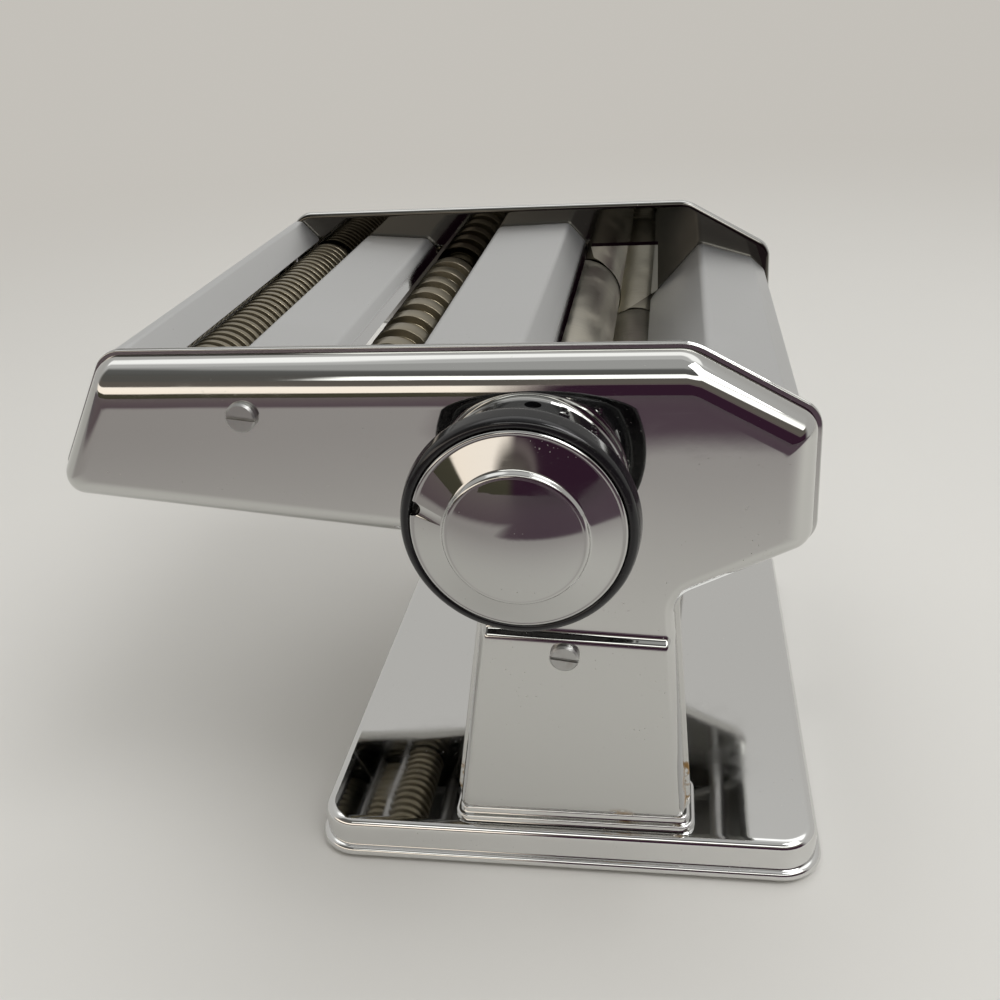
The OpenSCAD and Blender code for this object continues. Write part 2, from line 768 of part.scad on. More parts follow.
module narrow_drive_gear() { drive_gear(narrow_low, narrow_cd); }
module narrow_follow_gear() { follow_gear(narrow_up, narrow_cd); }

// Smooth rollers
module driven_roller() {
    color(nickel) turned(drive_axis, concat(
        [[0, -near_end], [journal_r, -near_end], [journal_r, -roller_end],
            [roller_r, -roller_end], [roller_r, roller_end]],
        socket_end
    ));
}
module adjustable_roller() {
    color(nickel) turned(adjust_axis, [
        [hollow_r, -roller_end], [roller_r, -roller_end], [roller_r, roller_end], [neck_r, roller_end],
        [neck_r, gear_end], [neck_in_r, gear_end], [neck_in_r, lobe_end + 0.3], [hollow_r, lobe_end + 0.3]
    ]);
}
// Axle through the adjustable roller; its two lobes carry the roller on bushes
module eccentric_axle() {
    color(steel) {
        rod(knob_axis, axle_r, -knob_back, lobe_end);
        rod(knob_axis, axle_end_r, lobe_end - 1, bracket_y + bracket_t);
        both_sides() rod(adjust_axis, lobe_r, lobe_end - lobe_l, lobe_end);
        translate([knob_axis[0], -knob_back - washer_s / 2 + 0.5, knob_axis[1]])
            cube([square_w, washer_s + 1, square_w], center = true);
    }
}
module eccentric_bushes() {
    in_r = lobe_r + running;
    out_r = in_r + eccentric_bush_wall;
    color(bronze) both_sides() turned(adjust_axis, [
        [in_r, lobe_end - lobe_l], [out_r, lobe_end - lobe_l], [out_r, lobe_end], [in_r, lobe_end]
    ]);
}
// Bracket over the gears that carries the axle's far end
module axle_bracket() {
    ends = [for (p = bracket_posts) p + 5 * unit(p - knob_axis)];
    color(steel) difference() {
        union() {
            along_y(bracket_y, bracket_y + bracket_t)
                polygon(sheet_outline([ends[0], knob_axis, ends[1]], bracket_w));
            for (p = bracket_posts) rod(p, bracket_post_r, plate_out, bracket_y + bracket_t / 2);
        }
        rod(knob_axis, axle_end_r + running, plate_out, cover_in + 1);
    }
}
// Screw and washer that hold the knob's spring on the axle's square end
module axle_screw() {
    color(steel) turned(knob_axis, [for (q = [
        [0, washer_s], [washer_r, washer_s], [washer_r, washer_s + washer_t],
        [axle_screw_r, washer_s + washer_t], [axle_screw_r, washer_s + washer_t + axle_screw_h],
        [0, washer_s + washer_t + axle_screw_h]
    ]) [q[0], -knob_back - q[1]]]);
}

// Thickness knob: profiles are [radius, distance outwards from the knob's back]
module knob_turned(profile) {
    turned(knob_axis, [for (q = profile) [q[0], -knob_back - q[1]]]);
}
module knob_drum() {
    in_r = drum_r - drum_wall;
    color(black) difference() {
        knob_turned([
            [in_r, ring_l], [drum_r, ring_l], [drum_r, rim_s - 1.4], [drum_r + 0.5, rim_s - 0.5],
            [drum_r + 1.4, rim_s], [rim_r - 0.9, rim_s], [rim_r - 0.2, rim_s + 0.4], [rim_r, rim_s + 1.1],
            [rim_r - 0.4, front_s - 1.4], [rim_r - 0.8, front_s - 0.5], [rim_r - 1.6, front_s],
            [cap_seat_r, front_s], [cap_seat_r, seat_s], [in_r, seat_s], [in_r, floor_s[1]], [0, floor_s[1]],
            [0, floor_s[0]], [in_r, floor_s[0]]
        ]);
        translate([knob_axis[0], -knob_back - floor_s[1] / 2, knob_axis[1]])
            cube([square_w + 0.2, 2 * floor_s[1], square_w + 0.2], center = true);
        // Round window in the drum's side, near its back
        translate([knob_axis[0], -knob_back - window_s, knob_axis[1]]) rotate([0, 90 - window_angle, 0])
            translate([0, 0, in_r - 1]) cylinder(r = window_r, h = drum_wall + 2);
    }
}
// Cap: a cone, a step and a shallow dome
module knob_cap() {
    dome = [for (k = [0:5]) let (f = 1 - k / 5) [dome_r * f, dome_s + dome_h * (1 - f * f)]];
    color(chrome) difference() {
        knob_turned(concat([
            [0, seat_s], [cap_r, seat_s], [cap_r, front_s - 0.2], [cap_r - 0.5, front_s + 0.2],
            [step_r, front_s + cone_h], [step_r - 0.4, dome_s - 0.3]
        ], dome));
        // Round pointer notch in the cap's rim
        rod(knob_axis + (cap_r - notch_in) * [cos(notch_angle), sin(notch_angle)], notch_r,
            -knob_back - dome_s, -knob_back - seat_s + 1);
    }
}
function index_place() = knob_axis + index_r * [0, -1];
module knob_ring() {
    color(chrome) difference() {
        knob_turned([[ring_r - ring_w, 0], [ring_r, 0], [ring_r, ring_l], [ring_r - ring_w, ring_l]]);
        for (i = [0:settings - 1]) {
            a = -90 + i * setting_turn / (settings - 1);
            rod(knob_axis + index_r * [cos(a), sin(a)], index_hole_r, -knob_back - ring_l - 1, 0);
        }
    }
}
module index_pin() {
    color(steel) {
        rod(index_place(), pin_r, -knob_back + loose, -cover_in);
        rod(index_place(), 2 * pin_r, -cover_in, -cover_in + 1);
    }
}
// Round-wire spring between the drum's floor and the washer
module knob_spring() {
    rings_per_turn = 10;
    sides = 6;
    s0 = floor_s[1] + spring_wire + 0.05;
    s1 = washer_s - spring_wire - 0.05;
    count = spring_turns * rings_per_turn;
    color(steel) translate([knob_axis[0], -knob_back, knob_axis[1]]) loft([
        for (k = [0:count])
            let (a = 360 * k / rings_per_turn, s = s0 + (s1 - s0) * k / count)
            [for (j = [0:sides - 1])
                let (b = 360 * j / sides, r = spring_r + spring_wire * cos(b))
                [r * cos(a), -s - spring_wire * sin(b), r * sin(a)]]
    ]);
}

base_plate();
rubber_feet();
near_frame_plate();
far_frame_plate();
near_side_cover();
far_side_cover();
near_cover_screws();
far_cover_screws();
end_wall();
cutter_bridge();
roller_bridge();
feed_panel();
dough_guides();
tie_rods();
sleeve_nuts();
roller_bushes();
cutter_bushes();
roller_scrapers();
wide_combs();
narrow_combs();
base_bolts();
base_nuts();
index_pin();
axle_bracket();
driven_roller();
driven_gear();
adjustable_roller();
adjustable_gear();
eccentric_axle();
axle_screw();
eccentric_bushes();
wide_drive_shaft();
wide_drive_cutter();
wide_drive_gear();
wide_follow_cutter();
wide_follow_gear();
narrow_drive_shaft();
narrow_drive_cutter();
narrow_drive_gear();
narrow_follow_cutter();
narrow_follow_gear();
knob_drum();
knob_cap();
knob_ring();
knob_spring();
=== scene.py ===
"""Looks of a hand-cranked pasta machine: chromed covers, base and deck, satin rollers and a black knob.

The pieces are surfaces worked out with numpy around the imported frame. Lengths below are millimetres in
the frame's own axes (+X feed side, -Y knob side, +Z up) and become metres when a mesh is made.
"""
import json
import math

import bpy
import bmesh
import numpy as np
from mathutils import Matrix, Vector
from mathutils.geometry import delaunay_2d_cdt


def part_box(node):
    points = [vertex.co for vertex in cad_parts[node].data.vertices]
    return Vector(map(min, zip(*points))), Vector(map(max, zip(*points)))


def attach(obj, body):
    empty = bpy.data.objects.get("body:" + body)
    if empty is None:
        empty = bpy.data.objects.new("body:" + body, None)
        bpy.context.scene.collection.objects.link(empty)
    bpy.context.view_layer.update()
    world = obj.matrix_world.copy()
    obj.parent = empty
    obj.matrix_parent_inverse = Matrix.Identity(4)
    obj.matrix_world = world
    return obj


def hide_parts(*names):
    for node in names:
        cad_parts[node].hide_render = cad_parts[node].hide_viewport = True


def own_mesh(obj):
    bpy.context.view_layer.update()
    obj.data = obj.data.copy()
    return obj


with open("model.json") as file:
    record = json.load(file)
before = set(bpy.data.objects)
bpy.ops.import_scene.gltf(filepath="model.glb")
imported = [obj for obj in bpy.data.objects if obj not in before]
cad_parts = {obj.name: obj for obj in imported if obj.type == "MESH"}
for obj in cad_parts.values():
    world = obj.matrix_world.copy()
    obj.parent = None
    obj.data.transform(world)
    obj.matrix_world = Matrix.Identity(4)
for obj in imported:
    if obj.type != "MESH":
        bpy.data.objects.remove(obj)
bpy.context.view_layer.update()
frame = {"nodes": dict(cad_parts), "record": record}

MM = 0.001
JOINTS = {j["name"]: j for j in frame["record"]["behaviour"]["joints"]}


def axis_of(joint):
    """[x, z] of a joint's axis, in millimetres."""
    x, _, z = JOINTS[joint]["pos_m"]
    return np.array([x, z]) / MM


def span_of(node, axis):
    """Lowest and highest value of a node along an axis, in millimetres."""
    low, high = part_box(node)
    return low[axis] / MM, high[axis] / MM


# Places taken from the frame
PLATE_IN = span_of("cutter_bridge", 1)[1]
PLATE_OUT = span_of("far_side_cover", 1)[0]
LEG_Y = span_of("far_side_cover", 1)[1]
TOP_Z = span_of("far_side_cover", 2)[1]
FOOT_Z = span_of("far_side_cover", 2)[0]
ROLLER_END = span_of("adjustable_roller", 1)[0] * -1
KNOB_AXIS = axis_of("knob_turn")
KNOB_BACK = -span_of("knob_ring", 1)[1]

# Cover: rim, shoulder, and the leg whose face stands proud of the upper face below a ledge
SHEET = 1.0
RIM = 1.0
LEG_RISE = 2.0
RIM_Y = PLATE_OUT + RIM
FACE_Y = LEG_Y - LEG_RISE
LEDGE_Z, LEDGE_H = 83.5, 1.8
# How much lower the ledge is at the feed end, and the flat stretch taken in above and below it
LEDGE_SLOPE, LEDGE_RUN = 2.2, 2.4
# Steps of a corner's arc
ARC = 14


def side_corners(foot_z):
    """Side outline, counter-clockwise: x, z, corner radius, shoulder width of the edge that follows."""
    return np.array([
        [-29.5, foot_z, 5, 9.0],
        [36.2, foot_z, 5, 3.8],
        [32.0, 89.5, 6, 6.5],
        [64.0, 105.5, 7, 8.5],
        [63.5, TOP_Z - 16.5, 7, 10],
        [34.5, TOP_Z, 12, 12],
        [-106.9, TOP_Z, 8, 8],
        [-127.5, 117.0, 7, 7.5],
        [-15.5, 104.0, 6, 3.8],
    ])


# Outlines
def unit(v):
    """Rows of v scaled to length one."""
    return v / np.linalg.norm(v, axis=-1, keepdims=True)


def arcs(before, p, after, r, steps):
    """Arc of radius r at each point p, tangent to its edges towards the points before and after."""
    da, db = unit(before - p), unit(after - p)
    half = np.arccos((da * db).sum(1)) / 2
    centre = p + unit(da + db) * (r / np.sin(half))[:, None]
    start = p + da * (r / np.tan(half))[:, None] - centre
    end = p + db * (r / np.tan(half))[:, None] - centre
    a0 = np.arctan2(start[:, 1], start[:, 0])
    sweep = np.arctan2(start[:, 0] * end[:, 1] - start[:, 1] * end[:, 0], (start * end).sum(1))
    a = a0[:, None] + sweep[:, None] * np.linspace(0, 1, steps + 1)
    return (centre[:, None] + r[:, None, None] * np.stack([np.cos(a), np.sin(a)], -1)).reshape(-1, 2)


def rounded(corners, steps=ARC):
    """Closed outline: each corner x, z, radius becomes an arc that is tangent to its two edges."""
    p = corners[:, :2]
    return arcs(np.roll(p, 1, 0), p, np.roll(p, -1, 0), corners[:, 2], steps)


def inset(corners, share, d=0.0):
    """Corner list whose edges have moved inwards by a share of their shoulder width, plus d."""
    p = corners[:, :2]
    e2 = unit(np.roll(p, -1, 0) - p)
    e1 = np.roll(e2, 1, 0)
    s2 = share * corners[:, 3] + d
    s1 = np.roll(s2, 1)
    turn = e1[:, 0] * e2[:, 1] - e1[:, 1] * e2[:, 0]
    out = corners.copy()
    out[:, :2] = p + (s1[:, None] * e2 - s2[:, None] * e1) / turn[:, None]
    out[:, 2] = np.maximum(corners[:, 2] - np.sign(turn) * (s1 + s2) / 2, 2.0)
    return out


def bent(path, radius, steps=10):
    """Open path with each inner point replaced by an arc of the given radius."""
    p = np.asarray(path, float)
    bends = arcs(p[:-2], p[1:-1], p[2:], np.full(len(p) - 2, radius), steps)
    return np.vstack([p[:1], bends, p[-1:]])


# Meshes
def band(first, n, rows, closed=True):
    """Quads of a grid of `rows` rows of n points that starts at point `first`; closed joins each row's ends."""
    i = np.arange(n if closed else n - 1)
    k = np.arange(rows - 1)[:, None] * n
    a = first + k + i
    b = first + k + (i + 1) % n
    return np.stack([a, b, b + n, a + n], -1).reshape(-1, 4).tolist()


def within(points, loop):
    """Which points lie inside a closed plane loop: a ray from them crosses an odd number of its edges."""
    a, b = loop, np.roll(loop, -1, 0)
    x, z = points[:, :1], points[:, 1:]
    spans = (a[:, 1] > z) != (b[:, 1] > z)
    rise = np.where(a[:, 1] == b[:, 1], 1.0, b[:, 1] - a[:, 1])
    cross = a[:, 0] + (z - a[:, 1]) * (b[:, 0] - a[:, 0]) / rise
    return (spans & (cross > x)).sum(1) % 2 == 1


def flat_fill(loops):
    """Triangles that fill the first plane loop outside the others; points and faces, in the plane's axes."""
    points = np.vstack(loops)
    edges, first = [], 0
    for loop in loops:
        edges += [(first + i, first + (i + 1) % len(loop)) for i in range(len(loop))]
        first += len(loop)
    got = delaunay_2d_cdt([Vector(p) for p in points], edges, [], 1, 1e-7)
    points, faces = np.array([tuple(v) for v in got[0]]), np.array(got[2])
    middle = points[faces].mean(1)
    keep = within(middle, loops[0])
    for loop in loops[1:]:
        keep &= ~within(middle, loop)
    return points, faces[keep].tolist()


class Shape:
    """Collects points and faces of one piece, then makes its mesh."""

    def __init__(self):
        self.points, self.faces, self.count = [], [], 0

    def add(self, points, faces, flip=False):
        """Adds points with faces that count from their own first point."""
        points = np.asarray(points, float).reshape(-1, 3)
        self.points.append(points)
        self.faces += [[i + self.count for i in (f[::-1] if flip else f)] for f in faces]
        self.count += len(points)

    def grid(self, grid, closed=True, flip=False):
        """Adds a grid of rows, each row closed on itself or open."""
        rows, n = grid.shape[:2]
        self.add(grid, band(0, n, rows, closed), flip)

    def piece(self, name, body, material, nodes=(), slot="chrome", angle=32):
        """Makes the mesh, joins doubled points, turns faces outwards and rides the piece on its body."""
        mesh = bpy.data.meshes.new(name)
        mesh.from_pydata((np.vstack(self.points) * MM).tolist(), [], self.faces)
        b = bmesh.new()
        b.from_mesh(mesh)
        bmesh.ops.remove_doubles(b, verts=b.verts, dist=2e-6)
        bmesh.ops.recalc_face_normals(b, faces=b.faces)
        b.to_mesh(mesh)
        b.free()
        mesh.polygons.foreach_set("use_smooth", np.ones(len(mesh.polygons), bool))
        mesh.set_sharp_from_angle(angle=math.radians(angle))
        mesh.materials.append(material)
        obj = bpy.data.objects.new(name, mesh)
        bpy.context.scene.collection.objects.link(obj)
        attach(obj, body)
        if nodes:
            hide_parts(*nodes)
        return obj


def turned(axis, profile, n=128):
    """Surface of revolution about an axis along Y: the profile is radius, y; rows follow the profile.

    n is the number of points round the axis, or their angles.
    """
    a = np.linspace(0, 2 * np.pi, n, endpoint=False) if np.isscalar(n) else n
    r, y = np.asarray(profile, float).T
    return np.stack([
        axis[0] + r[:, None] * np.cos(a),
        np.broadcast_to(y[:, None], (len(r), len(a))),
        axis[1] + r[:, None] * np.sin(a),
    ], -1)


def eased(profile, radius=0.4, steps=3):
    """Profile with its inner corners rounded, by at most 45 % of the shorter neighbouring stretch."""
    p = np.asarray(profile, float)
    back, on = p[:-2] - p[1:-1], p[2:] - p[1:-1]
    reach = np.minimum(radius, 0.45 * np.minimum(np.linalg.norm(back, axis=1), np.linalg.norm(on, axis=1)))
    a = p[1:-1] + unit(back) * reach[:, None]
    b = p[1:-1] + unit(on) * reach[:, None]
    t = np.linspace(0, 1, steps + 1)[None, :, None]
    curve = (1 - t) ** 2 * a[:, None] + 2 * t * (1 - t) * p[1:-1][:, None] + t ** 2 * b[:, None]
    return np.vstack([p[:1], curve.reshape(-1, 2), p[-1:]])


def revolve(name, axis, profile, body, material, nodes, slot, n=128, ease=0.4):
    """Closed turned piece: its profile is a closed loop of radius, y points, or starts and ends on the axis."""
    shape = Shape()
    p = np.asarray(profile, float)
    if p[0, 0] > 0:
        p = np.vstack([p, p[:1]])
    shape.grid(turned(axis, eased(p, ease), n))
    return shape.piece(name, body, material, nodes, slot)


# Shader arithmetic
class Val:
    """A shader socket that takes part in Python arithmetic by adding Math nodes."""

    def __init__(self, shader, socket):
        self.shader, self.socket = shader, socket

    def math(self, operation, *others):
        """Math node with this socket first."""
        sockets = {i: v for i, v in enumerate((self,) + others)}
        return self.shader.node("ShaderNodeMath", {"operation": operation}, sockets)

    def __add__(self, other): return self.math("ADD", other)
    def __radd__(self, other): return self.math("ADD", other)
    def __sub__(self, other): return self.math("SUBTRACT", other)
    def __rsub__(self, other): return (self * -1) + other
    def __mul__(self, other): return self.math("MULTIPLY", other)
    def __rmul__(self, other): return self.math("MULTIPLY", other)
    def __truediv__(self, other): return self.math("DIVIDE", other)
    def __pow__(self, other): return self.math("POWER", other)

    def step(self, low, high):
        """0 below low, 1 above high, smooth between; high may be the smaller one."""
        return self.shader.node("ShaderNodeMapRange", {"interpolation_type": "SMOOTHSTEP"}, {
            "Value": self, "From Min": low, "From Max": high, "To Min": 0.0, "To Max": 1.0})


class Shader:
    """Node tree of a material or of the world."""

    def __init__(self, owner):
        owner.use_nodes = True
        self.owner, self.tree = owner, owner.node_tree
        self.tree.nodes.clear()

    def node(self, kind, settings=None, sockets=None, out=0):
        """Adds a node: its settings first, then values or links of its sockets; returns one output."""
        n = self.tree.nodes.new(kind)
        for key, value in (settings or {}).items():
            if key == "stops":
                ramp = n.color_ramp.elements
                while len(ramp) < len(value):
                    ramp.new(0.5)
                for element, (place, colour) in zip(ramp, value):
                    element.position, element.color = place, (*colour, 1)
            else:
                setattr(n, key, value)
        for key, value in (sockets or {}).items():
            if isinstance(value, Val):
                self.tree.links.new(value.socket, n.inputs[key])
            else:
                n.inputs[key].default_value = value
        return Val(self, n.outputs[out]) if n.outputs else None

    def place(self, scale=(1, 1, 1), turn=(0, 0, 0)):
        """Object coordinates, stretched and turned."""
        at = self.node("ShaderNodeTexCoord", out=3)
        return self.node("ShaderNodeMapping", {}, {"Vector": at, "Scale": scale, "Rotation": turn})

    def noise(self, scale, detail=3.0, rough=0.55, at=None):
        """Noise value, 0 to 1."""
        return self.node("ShaderNodeTexNoise", {}, {
            "Vector": at or self.place(), "Scale": scale, "Detail": detail, "Roughness": rough})

    def axis(self, i):
        """Object coordinate along axis i, in metres."""
        return self.node("ShaderNodeSeparateXYZ", {}, {"Vector": self.node("ShaderNodeTexCoord", out=3)}, out=i)

    def near(self, points, reach):
        """1 at any of the points, falling to 0 at the reach; metres."""
        at = self.node("ShaderNodeTexCoord", out=3)
        found = None
        for p in points:
            d = self.node("ShaderNodeVectorMath", {"operation": "DISTANCE"}, {0: at, 1: p}, out=1)
            spot = d.step(reach, reach * 0.45)
            found = found.math("MAXIMUM", spot) if found else spot
        return found

    def blend(self, share, a, b):
        """Colour a where share is 0, colour b where it is 1."""
        return self.node("ShaderNodeMix", {"data_type": "RGBA"}, {0: share, 6: a, 7: b}, out=2)

    def bump(self, height, distance):
        """Normal bent by a height that counts in metres of `distance`."""
        return self.node("ShaderNodeBump", {}, {"Height": height, "Distance": distance, "Strength": 1.0})

    def surface(self, **sockets):
        """Principled surface on the output, and the material itself."""
        names = {k.replace("_", " ").title().replace("Ior", "IOR"): v for k, v in sockets.items()}
        bsdf = self.node("ShaderNodeBsdfPrincipled", {}, names)
        self.node("ShaderNodeOutputMaterial", {}, {"Surface": bsdf})
        return self.owner


def rgb(r, g, b):
    """Colour socket value."""
    return (r, g, b, 1.0)


def finish(name):
    """Empty shader of a new material."""
    return Shader(bpy.data.materials.new(name))


# Colours of worn places and of the painted shade on the frame plates' inner faces, and the roughness of clean
# chrome
PIT_GREY = (0.42, 0.40, 0.37)
DOUGH_CRUST = (0.33, 0.20, 0.07)
PAINTED_PLATE_SHADE = (0.085, 0.080, 0.070)
BRIGHT = 0.035
# Dried dough in the crevices round the feet of the legs, in metres
STAINS = [(x, side * y, z) for side in (-1, 1) for x, y, z in (
    (-0.0300, 0.081, 0.027), (0.0365, 0.081, 0.033), (0.0365, 0.081, 0.025), (0.017, 0.0865, 0.0215))]


def rubbed_flats(s):
    """Roughness of the deck: satin on its flats and on the feed panel, bright on the bent flanks."""
    flat = s.axis(2).step(0.1405, 0.1425).math("MAXIMUM", s.axis(0).step(0.018, 0.020))
    return flat * 0.36 + BRIGHT


def plate_inside(s):
    """Mask of painted shade: 1 on a frame plate's inner face beside the rollers, fading to 0 over its rolled
    edge and down the leg.
    """
    inner = s.axis(1).math("ABSOLUTE").step((PLATE_IN + 0.9) * MM, (PLATE_IN + 0.3) * MM)
    return inner * s.axis(2).step(0.108, 0.126)


def chrome(name, tint=(0.58, 0.58, 0.565), smear=1.0, stains=False, wave=1.0, dull=None, painted_shade=None):
    """Bright chrome plate with handling smears, fine scuffs and pitting specks.

    stains adds dried dough at the feet, dull gives a roughness of its own, and the last argument is a mask of
    painted shade: a near-black colour painted where shade falls.
    """
    s = finish(name)
    cloud = s.noise(22.0, 5.0, 0.6).step(0.46, 0.72)
    wipes = s.noise(60.0, 3.0, 0.6, s.place((1, 1, 4), (0.5, 0.9, 0.3))).step(0.52, 0.75)
    scuff = s.noise(900.0, 2.0, 0.5, s.place((0.05, 1, 1), (0.2, 0.6, 0.4))).step(0.64, 0.74)
    specks = s.noise(1500.0, 1.0, 0.5).step(0.735, 0.77)
    patch = s.noise(70.0, 3.0, 0.5).step(0.5, 0.65)
    pits = specks * patch
    rough = (dull(s) if dull else BRIGHT) + (cloud * 0.05 + wipes * 0.05) * smear + scuff * 0.05 + pits * 0.35
    # Painted shade: where the mask is 1 the chrome's colour goes to a near-black
    plate = s.blend(painted_shade(s), rgb(*tint), rgb(*PAINTED_PLATE_SHADE)) if painted_shade else rgb(*tint)
    colour = s.blend(pits * 0.55, plate, rgb(*PIT_GREY))
    metal = 1 - pits * 0.2
    if stains:
        crust = s.noise(240.0, 4.0, 0.65).step(0.44, 0.56) * s.near(STAINS, 0.0075)
        colour = s.blend(crust, colour, rgb(*DOUGH_CRUST))
        rough = rough + crust * 0.5
        metal = metal - crust * 0.8
    ripple = (s.noise(26.0, 1.0, 0.4) + s.noise(420.0, 2.0, 0.5) * 0.008) * wave
    return s.surface(base_color=colour, metallic=metal, roughness=rough,
                     normal=s.bump(ripple, 0.00022))


def satin(name, tint, film):
    """Ground nickel: fine rings round the roller and a dull film of flour and dough."""
    s = finish(name)
    rings = s.noise(1600.0, 2.0, 0.6, s.place((0.02, 1, 0.02)))
    clouds = s.noise(45.0, 4.0, 0.6)
    film_mask = clouds.step(0.38, 0.8)
    colour = s.blend(film_mask * 0.5, rgb(*tint), rgb(*film))
    colour = s.blend(rings.step(0.35, 0.75) * 0.25, colour, rgb(*[c * 0.6 for c in tint]))
    rough = 0.24 + rings * 0.12 + film_mask * 0.14
    return s.surface(base_color=colour, metallic=1 - film_mask * 0.25, roughness=rough,
                     normal=s.bump(rings, 0.00004))


def black_plastic(name):
    """Glossy black moulding: hair scratches, faint dust and duller handling marks."""
    s = finish(name)
    marks = s.noise(60.0, 4.0, 0.6).step(0.45, 0.7)
    hair = s.noise(1400.0, 1.0, 0.5, s.place((0.04, 1, 1), (0.3, 0.2, 0.8))).step(0.66, 0.74)
    dust = s.noise(2200.0, 1.0, 0.5).step(0.72, 0.76)
    colour = s.blend(dust * 0.25 + hair * 0.06, rgb(0.008, 0.008, 0.009), rgb(0.16, 0.15, 0.14))
    grain = s.noise(1900.0, 2.0, 0.5)
    return s.surface(base_color=colour, roughness=0.09 + marks * 0.05 + hair * 0.12,
                     normal=s.bump(grain, 0.000006), specular_ior_level=0.45)


def dull_steel(name, tint, rust=0.15):
    """Bare machined steel with tool lines and a little darkening."""
    s = finish(name)
    lines = s.noise(900.0, 2.0, 0.5, s.place((1, 0.1, 1)))
    dark = s.noise(120.0, 4.0, 0.6).step(0.5, 0.72)
    colour = s.blend(dark * rust, rgb(*tint), rgb(0.16, 0.10, 0.06))
    return s.surface(base_color=colour, metallic=1.0, roughness=0.3 + lines * 0.15 + dark * 0.1,
                     normal=s.bump(lines, 0.00003))


def soft_rubber(name):
    """Dark rubber with a chalky bloom."""
    s = finish(name)
    bloom = s.noise(160.0, 4.0, 0.6).step(0.45, 0.7)
    colour = s.blend(bloom * 0.5, rgb(0.02, 0.02, 0.02), rgb(0.07, 0.07, 0.068))
    return s.surface(base_color=colour, roughness=0.7 + bloom * 0.15, normal=s.bump(s.noise(1200.0), 0.00005))


COVER_CHROME = chrome("cover_chrome", stains=True)
# Base: a brighter tint than the covers' chrome, a painted brightening for the bright table its wall reflects
BASE_CHROME = chrome("base_chrome", (0.72, 0.72, 0.71), stains=True, wave=0.7)
DECK_CHROME = chrome("deck_chrome", (0.62, 0.625, 0.625), smear=0.5, wave=0.2, dull=rubbed_flats)
# Frame plates' chrome carries a painted shade on their inner faces beside the rollers
PLATE_CHROME = chrome("plate_chrome", smear=1.2, painted_shade=plate_inside)
GUIDE_CHROME = chrome("guide_chrome", smear=1.2)
# Knob: a darker tint than the covers' chrome, a painted shade for the darker table its cap reflects
KNOB_CHROME = chrome("knob_chrome", (0.52, 0.52, 0.508), smear=1.2, wave=0.4)
ROLLER_NICKEL = satin("roller_nickel", (0.60, 0.57, 0.49), (0.44, 0.40, 0.31))
# Cutters: a darker copy of the roller nickel, partly dough dirt and partly painted shade of the slot they turn
# in
CUTTER_NICKEL = satin("cutter_nickel", (0.33, 0.295, 0.22), (0.10, 0.08, 0.05))
KNOB_BLACK = black_plastic("knob_black")
SCREW_STEEL = dull_steel("screw_steel", (0.46, 0.46, 0.45), 0.35)
STEEL = dull_steel("machined_steel", (0.52, 0.52, 0.53))
BRONZE = dull_steel("bush_bronze", (0.62, 0.45, 0.24), 0.25)
RUBBER = soft_rubber("foot_rubber")


# Side covers
def ring3(outline, y):
    """Outline x, z at a place y."""
    return np.column_stack([outline[:, 0], np.full(len(outline), y), outline[:, 1]])


def hole_ring(p, r, y, n=48):
    """Circle about p in a plane of constant y."""
    a = np.linspace(0, 2 * np.pi, n, endpoint=False)
    return np.column_stack([p[0] + r * np.cos(a), np.full(n, y), p[1] + r * np.sin(a)])


# Rim, from the frame plate outwards: inset and distance from the plate.
# A groove, a rolled lip, a second groove.
LIP = eased([
    (1.1, 0.0), (1.1, 0.2), (0.15, 0.25), (0.0, 0.5), (0.0, 0.85), (0.2, 1.1), (1.75, 1.15), (1.75, 1.6),
], 0.2)
# The shoulder starts inside the lip, beyond the second groove
STEP_IN, STEP_OUT = 1.15, 0.7
# Ledge, upwards: height and how far the face stands proud of the upper one
LEDGE = eased([
    (LEDGE_Z - LEDGE_H - LEDGE_RUN, LEG_RISE), (LEDGE_Z - LEDGE_H, LEG_RISE), (LEDGE_Z, 0),
    (LEDGE_Z + LEDGE_RUN, 0),
], 1.2, 8)
# Points of the outline up to the end of the foot's second corner
FOOT = 2 * (ARC + 1)
KNOB_HOLE, CRANK_HOLE = 7.0, 8.0


def on_edge(a, b, z):
    """Points of the straight line from a to b at heights z."""
    return a + (b - a) * ((z - a[1]) / (b[1] - a[1]))[:, None]


def cover_ring(corners, y0, share, d):
    """Ring of the cover: its outline, with the ledge's points on both edges of the leg.

    y is y0 plus a share of the shoulder's depth, which grows by the ledge's height below the ledge.
    """
    p = rounded(corners)
    z = LEDGE[:, 0]
    right = on_edge(p[FOOT - 1], p[FOOT], z - LEDGE_SLOPE)
    left = on_edge(p[-1], p[0], z[::-1])
    proud = np.concatenate([np.full(FOOT, LEG_RISE), LEDGE[:, 1], np.zeros(len(p) - FOOT), LEDGE[::-1, 1]])
    outline = np.vstack([p[:FOOT], right, p[FOOT:], left])
    return np.column_stack([outline[:, 0], y0 + share * (FACE_Y - RIM_Y - d + proud), outline[:, 1]])


